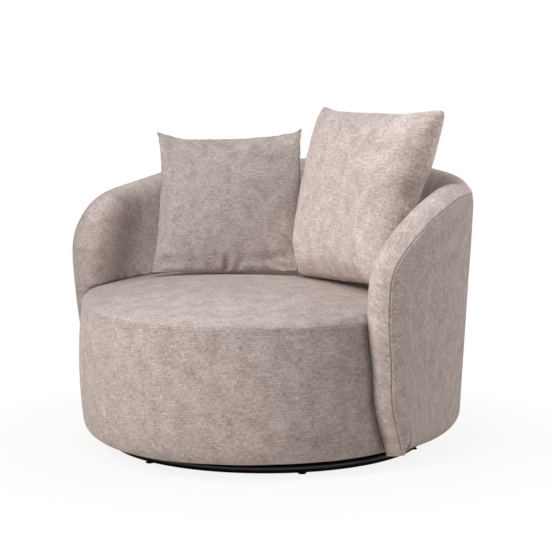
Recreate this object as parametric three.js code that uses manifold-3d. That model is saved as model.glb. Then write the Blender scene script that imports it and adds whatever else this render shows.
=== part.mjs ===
// Cuddle chair: a wide swivel tub chair with a padded wrap-around shell, a round upholstered seat and two
// loose scatter cushions, on a low steel ring. Millimetres, +Z up, front towards -Y, origin on the floor
// on the swivel axis.
import * as THREE from "three";
import { mergeVertices } from "three/addons/utils/BufferGeometryUtils.js";
import Module from "manifold-3d";

const wasm = await Module();
wasm.setup();

// Sizes that every piece shares
const fabricThickness = 2.5;
const clearance = 0.3;
const overrun = 20; // how far a cutter runs past what it cuts
const weldDistance = 0.001;

// Shell: the padded wall that makes arms and back in one sweep, measured to the middle of its thickness
const shellHalfWidth = 476;
const shellHalfDepth = 480;
const shellSetForward = 4;
const shellPower = 2.2; // superellipse power of the plan
const shellThickness = 90;
const shellBottom = 40;
const backHeight = 734;
const rimRound = 63; // how far in from the edge the rim starts to round over
const shellBottomRound = 54;
const sideFlare = 45; // how far the sides lean out over the flare height
const backFlare = 25;
const flareHeight = 600;
const seamInset = 29; // from the rim to the seam between inner and outer cover
const seamGap = 0.5;
const tuckRamp = 60; // length over which the outer cover starts to tuck under, behind the arm's seam
const wrapUnder = 30; // how far the outer cover is wrapped under the shell
const rimAngles = [104, 109, 110, 112, 110, 91.5, 55.5, 0]; // degrees round from the back
const rimHeightShares = [0, 0.193, 0.336, 0.562, 0.749, 0.936, 0.98, 1]; // of the shell's height

// Moulded plywood panel inside the shell
const panelThickness = 12;
const panelSetOut = 6; // from the middle of the shell's thickness to the panel's inner face
const panelInset = 62; // from the rim to the panel's edge
const panelLift = 15; // above the shell's bottom

// Seat drum
const drumSpread = 4; // how much wider than the shell's middle the drum is
const drumSetForward = 72;
const drumFrontPower = 1.8;
const drumBottom = 39;
const drumBottomRound = 44;
const seatTop = 415; // top of the seat's edge, below the crown
const seatEdgeRound = 25;
const seatCrown = 34;
const borderBulge = 10;
const seatSeamAngle = 15; // degrees up the seat's edge rounding
const borderWrap = 55; // how far the border cover is stapled under the deck
const seatFoamDepth = 72;

// Drum frame
const deckThickness = 18;
const wallThickness = 12;
const frameRingThickness = 18;
const frameRingWidth = 60;
const webCount = 6;
const webWidth = 70;
const webThickness = 1.5;
const webSpread = 640; // from the first web's middle to the last one's
const webEndInset = 12; // from the frame ring's outer edge to the web's end
const dustCoverThickness = 1;
const dustCoverHole = 130; // radius
const dustCoverInset = 60;
const blockAngles = [-78, -28, 28, 78]; // degrees round from the back
const blockWidthAngle = 8;
const blockBottom = 120;
const blockHeight = 150;
const coachScrewLength = 76;
const coachScrewRadius = 4;
const coachHeadRadius = 8;
const coachHeadHeight = 5;

// Ring base
const ringRadius = 420;
const ringTubeRadius = 12.5;
const glideHeight = 3;
const glideRadius = 11.5;
const glideEdge = 1.5;
const glideStemRadius = 3;
const glideStemHeight = 8;
const glideCount = 6;
const firstGlideAngle = 17.3;
const barWidth = 40;
const barHeight = 16;
const barWall = 2;

// Swivel bearing
const plateRadius = 110;
const plateThickness = 3;
const plateauRadius = 82;
const plateFlangeRadius = 88;
const raceRadius = 70;
const raceGap = 6;
const ballRadius = 4;
const ballCount = 10;
const cageWidth = 16;
const cageThickness = 1.6;
const bearingClearance = 0.6;
const pivotRadius = 8;
const pivotHeadRadius = 14;
const pivotHeadHeight = 2.5;
const plateFixingRadius = 99;
const baseBoltRadius = 4;
const baseBoltLength = 14;
const baseBoltHeadRadius = 6.5;
const baseBoltHeadHeight = 4;
const deckScrewRadius = 2.5;
const deckScrewLength = 16;
const deckScrewHeadRadius = 5;
const deckScrewHeadHeight = 2.5;

// Loose cushions: size across, how quickly they thicken from the knife edge (a lower fullness is plumper),
// how far each edge's middle is drawn in, where the bottom edge's middle rests, as shares of the shell's half
// width and half depth, and how they are turned
const coverThickness = 2;
const edgePower = 4; // how flat the middle of a drawn-in edge is
const zipRadius = 2.5;
const zipReachShare = 0.6; // of the half width
const zipDepth = 1.5;
const cushionContact = 17; // where the two cushions' lower corners press flat against each other, along X
const smallCushion = {
  name: "small_cushion",
  contactSide: 1,
  width: 430,
  height: 419,
  halfDepth: 78,
  fullness: 0.55,
  sideDrawInShare: 0.1,
  topDrawInShare: 0.13,
  footDrawInShare: 0.02,
  seatXShare: -0.343,
  seatYShare: 0.0583,
  lift: 5,
  facing: 22.6,
  lean: 22.4,
  roll: 2.5,
};
const largeCushion = {
  name: "large_cushion",
  contactSide: -1,
  width: 492,
  height: 489,
  halfDepth: 103,
  fullness: 0.37,
  sideDrawInShare: 0.005,
  topDrawInShare: 0.06,
  footDrawInShare: 0.02,
  seatXShare: 0.4874,
  seatYShare: 0.1125,
  lift: 10,
  facing: -18.5,
  lean: 15.9,
  roll: 2.1,
};

// Counts of facets
const drumFacets = 36;
const borderTuckFacets = 1; // that the border runs back past the drum's widest line, inside the arms
const shellHalfFacets = 14;
const cushionFacets = 10;
const plateFacets = 30;
const turnedFacets = 16;
const glideFacets = 8;
const screwFacets = 6;
const ringFacets = 48;
const ringSides = 8;
const zipSides = 6;
const zipSteps = 10;
const fanPower = 1.6; // spreads the shell's grid lines along its bottom edge

const degrees = Math.PI / 180;
const point = (x, y, z) => new THREE.Vector3(x, y, z);
const signedPower = (value, power) => Math.sign(value) * Math.abs(value) ** power;
const range = (count) => Array.from({ length: count }, (_, i) => i);

// Closed surfaces and cuts

// Welds a geometry's corners, drops collapsed faces and turns it to face outwards.
function closed(geometry) {
  const bare = geometry.clone();
  ["normal", "uv"].forEach((name) => bare.deleteAttribute(name));
  const welded = mergeVertices(bare, weldDistance);
  const at = (i) => new THREE.Vector3().fromBufferAttribute(welded.attributes.position, i);
  const faces = [];
  let volume = 0;
  for (let i = 0; i < welded.index.count; i += 3) {
    const [a, b, c] = [0, 1, 2].map((k) => welded.index.getX(i + k));
    if (a === b || b === c || c === a) continue;
    faces.push([a, b, c]);
    volume += at(a).dot(at(b).cross(at(c)));
  }
  welded.setIndex(faces.flatMap(([a, b, c]) => (volume < 0 ? [a, c, b] : [a, b, c])));
  return welded;
}

// Joins a row of loops that hold the same number of points. Open rows are capped by pairing each point with
// the one across the loop. Past the fold the loop runs back over its own stations, so its faces are split
// along the other diagonal, and surfaces at different depths stay parallel.
function loft(loops, { joined = false, capped = true, fold = Infinity } = {}) {
  const size = loops[0].length;
  const positions = loops.flat().flatMap((p) => [p.x, p.y, p.z]);
  const index = [];
  const quad = (a, b, c, d) => index.push(a, b, c, a, c, d);
  range(joined ? loops.length : loops.length - 1).forEach((i) => {
    const near = i * size;
    const far = ((i + 1) % loops.length) * size;
    range(size).forEach((j) => {
      const next = (j + 1) % size;
      if (j < fold) quad(near + j, far + j, far + next, near + next);
      else quad(far + j, far + next, near + next, near + j);
    });
  });
  if (!joined && capped) {
    const last = (loops.length - 1) * size;
    range(Math.ceil((size - 1) / 2)).forEach((j) => {
      const across = size - 1 - j;
      quad(j, j + 1, across - 1, across);
      quad(last + j, last + across, last + across - 1, last + j + 1);
    });
  }
  const geometry = new THREE.BufferGeometry();
  geometry.setAttribute("position", new THREE.Float32BufferAttribute(positions, 3));
  geometry.setIndex(index);
  return closed(geometry);
}

function toSolid(geometry) {
  const { attributes, index } = closed(geometry);
  const triVerts = new Uint32Array(index.array);
  return new wasm.Manifold(
    new wasm.Mesh({ numProp: 3, vertProperties: attributes.position.array, triVerts }),
  );
}

function toGeometry(solid) {
  const { vertProperties, triVerts } = solid.getMesh();
  const geometry = new THREE.BufferGeometry();
  geometry.setAttribute("position", new THREE.BufferAttribute(vertProperties, 3));
  geometry.setIndex(new THREE.BufferAttribute(triVerts, 1));
  return geometry;
}

const carve = (geometry, ...cutters) =>
  toGeometry(cutters.reduce((rest, cutter) => rest.subtract(toSolid(cutter)), toSolid(geometry)));

// Turns a profile of [radius, height] pairs about the Z axis.
function turned(profile, facets = turnedFacets) {
  const outline = profile.map(([radius, height]) => new THREE.Vector2(radius, height));
  if (outline[0].x > 0) outline.push(outline[0].clone());
  return closed(new THREE.LatheGeometry(outline, facets).rotateX(Math.PI / 2));
}

// Drum surfaces: angle runs round from +X, inset is measured in from the outer face

const shellBackReach =
  shellHalfDepth - shellSetForward + shellThickness / 2 +
  (backFlare * (backHeight - rimRound - shellBottom)) / flareHeight;
const drumHalfWidth = shellHalfWidth + drumSpread;
const drumFrontReach = shellBackReach - drumSetForward - borderBulge;
const drumBackReach = shellHalfDepth - shellSetForward + drumSetForward;
const crownSlope = Math.atan((2 * seatCrown) / (drumHalfWidth - seatEdgeRound));
const crownFoot = Math.PI / 2 - crownSlope;

function drumPoint(angle, inset, z, share = 1) {
  const [c, s] = [Math.cos(angle), Math.sin(angle)];
  const reach = s < 0 ? drumFrontReach : drumBackReach;
  const power = 2 / (s < 0 ? drumFrontPower : shellPower);
  return point(
    (drumHalfWidth - inset) * share * signedPower(c, power),
    (reach - inset) * share * signedPower(s, power) - drumSetForward,
    z,
  );
}

// The padded front of the border swells most at mid height and fades out towards the arms.
function borderPoint(angle, inset, z) {
  const across = THREE.MathUtils.clamp((2 * (z - wallMiddle)) / (wallHead - wallFoot), -1, 1);
  const front = THREE.MathUtils.smoothstep(-Math.sin(angle), 0.2, 0.6);
  return drumPoint(angle, inset - borderBulge * front * (1 - across * across), z);
}

// Stations of the drum's outer face, each a function of the angle, at a depth under the surface
function bottomRounding(depth, steps) {
  const radius = drumBottomRound - depth;
  const middle = drumBottom + drumBottomRound;
  return steps.map((turn) => (angle) =>
    borderPoint(angle, drumBottomRound - radius * Math.sin(turn), middle - radius * Math.cos(turn)),
  );
}

function wallFace(depth, levels = wallLevels) {
  return levels.map((z) => (angle) => borderPoint(angle, depth, z));
}

function seatEdge(depth, steps) {
  const radius = seatEdgeRound - depth;
  return steps.map((turn) => (angle) =>
    borderPoint(angle, seatEdgeRound - radius * Math.cos(turn), wallHead + radius * Math.sin(turn)),
  );
}

const crownShares = [0.7, 0.35, 0];
function seatCrownFace(depth) {
  const radius = seatEdgeRound - depth;
  const inset = depth + radius * (1 - Math.cos(crownFoot));
  const foot = seatTop - seatEdgeRound + radius * Math.sin(crownFoot);
  return crownShares.map((share) => (angle) =>
    drumPoint(angle, inset, foot + seatCrown * (1 - share * share), share),
  );
}

const fullTurn = range(drumFacets).map((i) => (2 * Math.PI * i) / drumFacets);
const ringOf = (stations, fold) =>
  loft(fullTurn.map((angle) => stations.map((at) => at(angle))), { joined: true, fold });
const skin = (face) => [...face(0), ...face(fabricThickness).reverse()];
const level = (inset, z, share = 1) => (angle) => drumPoint(angle, inset, z, share);

const roundingShares = [0, 0.33, 0.67, 1];
const lowRounding = roundingShares.map((share) => (share * Math.PI) / 2);
const seamTurn = seatSeamAngle * degrees;
const highRounding = roundingShares.map((share) => seamTurn + share * (crownFoot - seamTurn));

const padDepth = fabricThickness + clearance;
const frameInset = drumBottomRound + clearance;
const deckBottom = drumBottom + padDepth;
const wallBottom = deckBottom + deckThickness + clearance;
const foamBottom = seatTop - seatFoamDepth;
const borderFoamTop = foamBottom - clearance;
const wallFoot = drumBottom + drumBottomRound;
const wallHead = seatTop - seatEdgeRound;
const wallMiddle = (wallFoot + wallHead) / 2;
const wallLevels = [wallFoot, (wallFoot + wallMiddle) / 2, wallMiddle, borderFoamTop, wallHead];
const webBottom = foamBottom - clearance - webThickness;
const frameRingBottom = webBottom - clearance - frameRingThickness;
const wallTop = frameRingBottom - clearance;

// The space that the drum fills, grown by a margin, with straight sides down past the shell's bottom
function drumSpace(margin) {
  const low = shellBottom - overrun;
  return ringOf([
    level(0, low, 0),
    level(-margin, low),
    ...wallFace(-margin),
    ...seatEdge(-margin, highRounding),
    ...seatCrownFace(-margin),
  ]);
}

// Height of the seat's surface above a place near its middle
function seatHeight(x, y) {
  const foot = seatTop - seatEdgeRound * (1 - Math.sin(crownFoot));
  const reach = y < -drumSetForward ? drumFrontReach : drumBackReach;
  const across = x / (drumHalfWidth - seatEdgeRound);
  const along = (y + drumSetForward) / (reach - seatEdgeRound);
  return foot + seatCrown * (1 - across * across - along * along);
}

// Shell surfaces: the wall is laid out flat as (girth, height) and bent round the plan

const rimOutline = rimAngles.map((angle, i) =>
  point(angle * degrees * shellHalfWidth, shellBottom + rimHeightShares[i] * (backHeight - shellBottom), 0),
);
const rimCurve = new THREE.CatmullRomCurve3([
  ...rimOutline,
  ...rimOutline.slice(0, -1).reverse().map((p) => point(-p.x, p.y, 0)),
]);
const seamAngle = Math.acos(1 - seamInset / rimRound);
const outerSeamAngle = Math.acos(1 - (seamInset + seamGap) / rimRound);

function shellPoint(girth, z, offset) {
  const angle = girth / shellHalfWidth;
  const back = (1 + Math.cos(angle)) / 2;
  const lean = ((sideFlare * (1 - back) + backFlare * back) * (z - shellBottom)) / flareHeight;
  const [a, b] = [shellHalfWidth + lean, shellHalfDepth + lean];
  const x = a * signedPower(Math.sin(angle), 2 / shellPower);
  const y = b * signedPower(Math.cos(angle), 2 / shellPower);
  const out = point(signedPower(x / a, shellPower - 1) / a, signedPower(y / b, shellPower - 1) / b, 0);
  return point(x, y - shellSetForward, z).addScaledVector(out.normalize(), offset);
}

// One line of the shell's grid: where it leaves the rim, which way is in, and how far round it ends
function gridLine(step) {
  const along = Math.abs(step) / shellHalfFacets;
  const side = Math.sign(step) || 1;
  if (along === 0) return { girth: 0, z: backHeight, in: [0, -1], side, spread: 1 };
  const at = rimCurve.getPointAt((1 - along) / 2);
  const heading = rimCurve.getTangentAt((1 - along) / 2);
  const inwards = along === 1 ? [-1, 0] : [-heading.y, heading.x];
  return { girth: at.x, z: at.y, in: inwards, side, spread: (1 - along) ** fanPower };
}

const shellLines = range(2 * shellHalfFacets + 1).map((i) => gridLine(i - shellHalfFacets));
const tipGirth = rimOutline[0].x;

function shellStation(line, girth, z, depth, across) {
  const radius = shellBottomRound - depth;
  const rise = THREE.MathUtils.clamp((z - shellBottom - depth) / radius, 0, 1);
  const tuck = THREE.MathUtils.smoothstep(tipGirth - girth, seamInset, seamInset + tuckRamp);
  const under = across > 0 ? radius * (1 - Math.sqrt(1 - (1 - rise) ** 2)) * tuck : 0;
  return shellPoint(line.side * girth, z, (shellThickness / 2 - depth) * across - under);
}

// A point on the rim's rounding; turn runs from -90 degrees on the inner face to 90 on the outer
function rimStation(line, depth, turn) {
  const into = depth + (rimRound - depth) * (1 - Math.cos(turn));
  const z = Math.max(line.z + line.in[1] * into, shellBottom + depth);
  return shellStation(line, line.girth + line.in[0] * into, z, depth, Math.sin(turn));
}

// A point on the flat of either face, at a share of the way up from the bottom to the rim's rounding
function faceStation(line, depth, share, across) {
  const foot = [(tipGirth - rimRound) * (1 - line.spread), shellBottom + depth];
  const head = [line.girth + line.in[0] * rimRound, Math.max(line.z + line.in[1] * rimRound, foot[1])];
  const roundShare = (shellBottomRound * share.round) / Math.max(head[1] - foot[1], weldDistance);
  const up = share.round === undefined ? share.plain : Math.min(roundShare, share.plain);
  const girth = foot[0] + (head[0] - foot[0]) * up;
  return shellStation(line, girth, foot[1] + (head[1] - foot[1]) * up, depth, across);
}

const innerShares = [0, 0.5, 0.75].map((plain) => ({ plain }));
const outerShares = [
  { plain: 0.75 },
  { plain: 0.5 },
  { plain: 0.28, round: 1 },
  { plain: 0.18, round: 0.5 },
  { plain: 0.08, round: 0.134 },
  { plain: 0 },
];
const innerRimTurns = [-90, -58, -26, 4, 32].map((turn) => turn * degrees);
const outerRimTurns = [73, 90].map((turn) => turn * degrees);

const innerFace = (line, depth) => [
  ...innerShares.map((share) => faceStation(line, depth, share, -1)),
  ...[...innerRimTurns, seamAngle].map((turn) => rimStation(line, depth, turn)),
];
const outerFace = (line, depth, start = outerSeamAngle) => [
  ...[start, ...outerRimTurns].map((turn) => rimStation(line, depth, turn)),
  ...outerShares.map((share) => faceStation(line, depth, share, 1)),
];

function shellBody(depth) {
  return loft(shellLines.map((line) => [...innerFace(line, depth), ...outerFace(line, depth).slice(1)]));
}

function shellSkin(face) {
  const loops = shellLines.map((line) => [...face(line, 0), ...face(line, fabricThickness).reverse()]);
  return loft(loops, { fold: loops[0].length / 2 });
}

// The outer cover runs on under the shell to its wrapped edge.
function outerWithWrap(line, depth) {
  const foot = (tipGirth - rimRound) * (1 - line.spread);
  const under = shellPoint(line.side * foot, shellBottom + depth, -wrapUnder);
  return [...outerFace(line, depth), under];
}

const panelFoot = shellBottom + panelLift;
const panelShares = [0, 0.25, 0.5, 0.75, 1];

// The plywood panel, or with a margin the slot that takes it, which opens downwards
function shellPanel(margin = 0) {
  const stations = [...(margin ? [[0, margin, overrun]] : []), ...panelShares.map((share) => [share, 0, 0])];
  if (margin) stations.push([1, margin, 0]);
  const loops = shellLines.map((line) => {
    const end = line.spread === 0 ? margin : 0;
    const low = [(tipGirth - panelInset) * (1 - line.spread) + end, panelFoot];
    const top = Math.max(line.z + line.in[1] * panelInset, panelFoot);
    const high = [line.girth + line.in[0] * panelInset + end, top];
    const up = (offset) =>
      stations.map(([share, past, drop]) =>
        shellPoint(
          line.side * (THREE.MathUtils.lerp(low[0], high[0], share) - (drop ? 0 : line.in[0] * past)),
          THREE.MathUtils.lerp(low[1], high[1], share) - (drop ? panelLift + drop : line.in[1] * past),
          offset,
        ),
      );
    return [...up(panelSetOut - margin), ...up(panelSetOut + panelThickness + margin).reverse()];
  });
  return loft(loops, { fold: loops[0].length / 2 });
}

// Mounting blocks between the drum's wall and the shell's panel

function wallSide(outside, inset) {
  const reach = outside.y < -drumSetForward ? drumFrontReach : drumBackReach;
  const power = outside.y < -drumSetForward ? drumFrontPower : shellPower;
  const [dx, dy] = [outside.x, outside.y + drumSetForward];
  const size = Math.abs(dx / (drumHalfWidth - inset)) ** power + Math.abs(dy / (reach - inset)) ** power;
  const share = size ** (-1 / power);
  return point(dx * share, dy * share - drumSetForward, outside.z);
}

const blockShares = [-1, -0.5, 0, 0.5, 1];

// A block reaches into the panel's slot, which trims it.
function mountingBlock(middle, margin = 0) {
  const spare = margin / shellHalfWidth / degrees;
  const turns = blockShares.map((share) => middle + share * (blockWidthAngle / 2 + spare));
  return loft(
    turns.map((turn) => {
      const outside = (z) => shellPoint(turn * degrees * shellHalfWidth, z, panelSetOut + panelThickness / 3);
      const inside = (z) => wallSide(outside(z), frameInset - 2 * clearance);
      const [low, high] = [blockBottom - margin, blockBottom + blockHeight + margin];
      return [inside(low), outside(low), outside(high), inside(high)];
    }),
  );
}

// Placed along the outward line through a block's middle: local z points out of the chair
function throughBlock(geometry, middle) {
  const z = blockBottom + blockHeight / 2;
  const girth = middle * degrees * shellHalfWidth;
  const seat = shellPoint(girth, z, panelSetOut + panelThickness + clearance);
  const out = seat.clone().sub(shellPoint(girth, z, 0)).normalize();
  const turn = new THREE.Quaternion().setFromUnitVectors(point(0, 0, 1), out);
  return geometry.clone().applyQuaternion(turn).translate(seat.x, seat.y, seat.z);
}

const coachScrew = () =>
  turned([
    [0, -coachScrewLength],
    [coachScrewRadius / 2, -coachScrewLength],
    [coachScrewRadius, -coachScrewLength + 2 * coachScrewRadius],
    [coachScrewRadius, 0],
    [coachHeadRadius, 0],
    [coachHeadRadius, coachHeadHeight / 2],
    [coachHeadRadius / 2, coachHeadHeight],
    [0, coachHeadHeight],
  ], screwFacets);
const coachScrewHole = () =>
  turned([
    [0, -coachScrewLength - clearance],
    [coachScrewRadius + clearance, -coachScrewLength - clearance],
    [coachScrewRadius + clearance, -clearance / 2],
    [coachHeadRadius + clearance, -clearance / 2],
    [coachHeadRadius + clearance, coachHeadHeight + clearance],
    [0, coachHeadHeight + clearance],
  ], screwFacets);

// Cushions

const endDrawIn = (cushion, s, t) =>
  (t < 0 ? cushion.footDrawInShare : cushion.topDrawInShare) * (1 - s ** edgePower);

function cushionShape(cushion, depth) {
  const [a, b] = [cushion.width / 2 - depth, cushion.height / 2 - depth];
  const thick = cushion.halfDepth - depth;
  const spread = range(cushionFacets + 1).map((i) => Math.sin(Math.PI * (i / cushionFacets - 0.5)));
  const at = (s, t, side) =>
    point(
      a * s * (1 - cushion.sideDrawInShare * (1 - t ** edgePower)),
      b * t * (1 - endDrawIn(cushion, s, t)),
      side * thick * Math.max((1 - s * s) * (1 - t * t), 0) ** cushion.fullness,
    );
  const loops = spread.map((t) => [
    ...spread.map((s) => at(s, t, 1)),
    ...spread.slice(1, -1).reverse().map((s) => at(s, t, -1)),
  ]);
  return loft(loops, { capped: false });
}

function cushionPlace(cushion) {
  const facing = cushion.facing * degrees;
  const lean = cushion.lean * degrees;
  const forward = point(Math.sin(facing), -Math.cos(facing), 0);
  const across = point(Math.cos(facing), Math.sin(facing), 0);
  const up = point(0, 0, Math.cos(lean)).addScaledVector(forward, -Math.sin(lean));
  const roll = cushion.roll * degrees;
  const right = across.clone().multiplyScalar(Math.cos(roll)).addScaledVector(up, Math.sin(roll));
  const top = up.clone().multiplyScalar(Math.cos(roll)).addScaledVector(across, -Math.sin(roll));
  const [x, y] = [cushion.seatXShare * shellHalfWidth, cushion.seatYShare * shellHalfDepth];
  const seat = point(x, y, seatHeight(x, y) + cushion.lift);
  const middle = seat.addScaledVector(top, cushion.height / 2);
  return new THREE.Matrix4().makeBasis(right, top, right.clone().cross(top)).setPosition(middle);
}

const zipShares = [-1, -0.5, 0, 0.5, 1];
function zipTube(cushion, radius) {
  const b = cushion.height / 2 - zipDepth;
  const path = new THREE.CatmullRomCurve3(
    zipShares.map((share) => {
      const s = share * zipReachShare;
      return point((s * cushion.width) / 2, -b * (1 - endDrawIn(cushion, s, -1)), 0);
    }),
  );
  const section = new THREE.Shape(
    range(zipSides).map((i) =>
      new THREE.Vector2(radius, 0).rotateAround(new THREE.Vector2(), (i / zipSides) * 2 * Math.PI),
    ),
  );
  return new THREE.ExtrudeGeometry(section, { steps: zipSteps, bevelEnabled: false, extrudePath: path });
}

// The far side of the plane where the two cushions meet
function beyondContact(side, margin) {
  const size = 2 * shellHalfWidth;
  const middle = cushionContact + side * (size / 2 - margin);
  return new THREE.BoxGeometry(size, size, 2 * backHeight).translate(middle, 0, backHeight);
}

// A cushion's pieces: each is cut back where it presses on the seat, the shell and the cushion beside it.
function cushionPieces(cushion) {
  const place = cushionPlace(cushion);
  const surroundings = (margin) => [
    drumSpace(margin),
    shellBody(-margin),
    beyondContact(cushion.contactSide, margin - clearance / 2),
  ];
  const pressed = (depth) =>
    carve(cushionShape(cushion, depth).applyMatrix4(place), ...surroundings(clearance + depth));
  const slot = zipTube(cushion, zipRadius + clearance).applyMatrix4(place);
  const insertDepth = coverThickness + clearance;
  return {
    cover: carve(pressed(0), pressed(coverThickness), slot),
    insert: carve(pressed(insertDepth), slot),
    zip: zipTube(cushion, zipRadius).applyMatrix4(place),
  };
}

// Base and swivel

const ringHeight = glideHeight + ringTubeRadius;
const barTop = ringHeight + barHeight / 2;
const lowerPlateBottom = barTop + clearance;
const upperPlateTop = deckBottom - clearance;
const raceLevel = (lowerPlateBottom + upperPlateTop) / 2;

const ringTube = (margin) =>
  new THREE.TorusGeometry(ringRadius, ringTubeRadius + margin, ringSides, ringFacets)
    .translate(0, 0, ringHeight);

const glideTurns = range(glideCount).map((i) => firstGlideAngle * degrees + (i / glideCount) * 2 * Math.PI);
const glideAt = (geometry, turn) =>
  geometry.clone().translate(ringRadius * Math.cos(turn), ringRadius * Math.sin(turn), 0);
const glideProfile = (margin) => [
  [0, 0],
  [glideRadius - glideEdge, 0],
  [glideRadius + margin, glideEdge],
  [glideRadius + margin, glideHeight - glideEdge / 2],
  [glideStemRadius + margin, glideHeight - clearance + margin],
  [glideStemRadius + margin, glideHeight + glideStemHeight + margin],
  [0, glideHeight + glideStemHeight + margin],
];

function squareTube(from, to) {
  const outline = (w, h) =>
    [[-w, -h], [w, -h], [w, h], [-w, h]].map(([x, y]) => new THREE.Vector2(x / 2, y / 2));
  const section = new THREE.Shape(outline(barHeight, barWidth));
  section.holes.push(new THREE.Path(outline(barHeight - 2 * barWall, barWidth - 2 * barWall).reverse()));
  const tube = new THREE.ExtrudeGeometry(section, { depth: to - from, bevelEnabled: false });
  return tube.rotateY(Math.PI / 2).translate(from, 0, ringHeight);
}

const grooveShares = [1, 0, -1];

// Pressed bearing plate: flange, dished step and a raised plateau with the ball groove. side is 1 for the
// lower plate, which faces up, and -1 for the upper one.
function bearingPlate(side, flange, hole) {
  const groove = ballRadius + bearingClearance;
  const plateau = raceLevel - (side * raceGap) / 2;
  const halfChord = Math.sqrt(groove ** 2 - (raceGap / 2) ** 2);
  const arc = grooveShares.map((share) => {
    const turn = share * Math.asin(halfChord / groove);
    return [raceRadius + groove * Math.sin(turn), raceLevel - side * groove * Math.cos(turn)];
  });
  return turned([
    [hole, plateau - side * plateThickness],
    [plateauRadius, plateau - side * plateThickness],
    [plateFlangeRadius, flange],
    [plateRadius, flange],
    [plateRadius, flange + side * plateThickness],
    [plateFlangeRadius, flange + side * plateThickness],
    [plateauRadius, plateau],
    ...arc,
    [hole, plateau],
  ], plateFacets);
}

const pivotSpan = raceGap / 2 + plateThickness + clearance;
const pivot = () =>
  turned([
    [0, raceLevel - pivotSpan - pivotHeadHeight],
    [pivotHeadRadius, raceLevel - pivotSpan - pivotHeadHeight],
    [pivotHeadRadius, raceLevel - pivotSpan],
    [pivotRadius, raceLevel - pivotSpan],
    [pivotRadius, raceLevel + pivotSpan],
    [pivotHeadRadius, raceLevel + pivotSpan],
    [pivotHeadRadius, raceLevel + pivotSpan + pivotHeadHeight],
    [0, raceLevel + pivotSpan + pivotHeadHeight],
  ]);

// The cage and the balls that it carries, which turn together at half the chair's speed
function ballCage() {
  const ring = turned([
    [raceRadius - cageWidth / 2, raceLevel - cageThickness / 2],
    [raceRadius + cageWidth / 2, raceLevel - cageThickness / 2],
    [raceRadius + cageWidth / 2, raceLevel + cageThickness / 2],
    [raceRadius - cageWidth / 2, raceLevel + cageThickness / 2],
  ], plateFacets);
  const balls = range(ballCount).map((i) => {
    const turn = (i / ballCount) * 2 * Math.PI;
    const ball = new THREE.SphereGeometry(ballRadius, 6, 4);
    return ball.translate(raceRadius * Math.cos(turn), raceRadius * Math.sin(turn), raceLevel);
  });
  return toGeometry(balls.reduce((whole, ball) => whole.add(toSolid(ball)), toSolid(ring)));
}

// Screws and bolts along Z: the underside of the head is at zero and the shank points down
const screw = (radius, length, headRadius, headHeight) =>
  turned([
    [0, -length],
    [radius, -length],
    [radius, 0],
    [headRadius, 0],
    [headRadius, headHeight],
    [0, headHeight],
  ], screwFacets);
const hole = (radius, length) =>
  turned([
    [0, -length],
    [radius, -length],
    [radius, overrun],
    [0, overrun],
  ], screwFacets);

const boltTurns = range(4).map((i) => (i / 4) * 2 * Math.PI);
const screwTurns = range(4).map((i) => ((i + 0.5) / 4) * 2 * Math.PI);
const atFixing = (geometry, turn, z, upsideDown = false) => {
  const placed = geometry.clone();
  if (upsideDown) placed.rotateX(Math.PI);
  return placed.translate(plateFixingRadius * Math.cos(turn), plateFixingRadius * Math.sin(turn), z);
};
const boltHeadSeat = lowerPlateBottom + plateThickness + clearance;
const screwHeadSeat = upperPlateTop - plateThickness - clearance;
const boltHoles = boltTurns.map((turn) =>
  atFixing(hole(baseBoltRadius + clearance, baseBoltLength + clearance), turn, boltHeadSeat),
);
const screwHoles = screwTurns.map((turn) =>
  atFixing(hole(deckScrewRadius + clearance, deckScrewLength + clearance), turn, screwHeadSeat, true),
);

// Seat frame

function seatWeb(middle) {
  const [low, high] = [middle - webWidth / 2, middle + webWidth / 2];
  const edge = (y) => {
    const reach = (y < -drumSetForward ? drumFrontReach : drumBackReach) - frameInset - webEndInset;
    const power = y < -drumSetForward ? drumFrontPower : shellPower;
    const share = 1 - Math.abs((y + drumSetForward) / reach) ** power;
    return (drumHalfWidth - frameInset - webEndInset) * share ** (1 / power);
  };
  const rows = [low, middle, high];
  const outline = [
    ...rows.map((y) => new THREE.Vector2(edge(y), y)),
    ...rows.reverse().map((y) => new THREE.Vector2(-edge(y), y)),
  ];
  const band = new THREE.Shape(outline);
  const web = new THREE.ExtrudeGeometry(band, { depth: webThickness, bevelEnabled: false });
  return web.translate(0, 0, webBottom);
}

const seatMiddle = (drumBackReach - drumFrontReach) / 2 - drumSetForward;

// Assembly

const finish = (color, roughness, metalness) =>
  new THREE.MeshStandardMaterial({ color, roughness, metalness });
const chenille = finish(0xaa9e97, 0.95, 0);
const paddingFoam = finish(0xe8e0c8, 0.95, 0);
const plywood = finish(0xc9a878, 0.75, 0);
const blackPaint = finish(0x141416, 0.35, 0.2);
const zincSteel = finish(0xb4b6ba, 0.4, 0.9);
const blackPlastic = finish(0x1c1c1e, 0.6, 0);
const webbing = finish(0x4a4238, 0.9, 0);
const blackCloth = finish(0x18181a, 0.95, 0);

const chair = new THREE.Group();
function add(name, geometry, material) {
  const mesh = new THREE.Mesh(geometry, material);
  mesh.name = name;
  chair.add(mesh);
}

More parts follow.
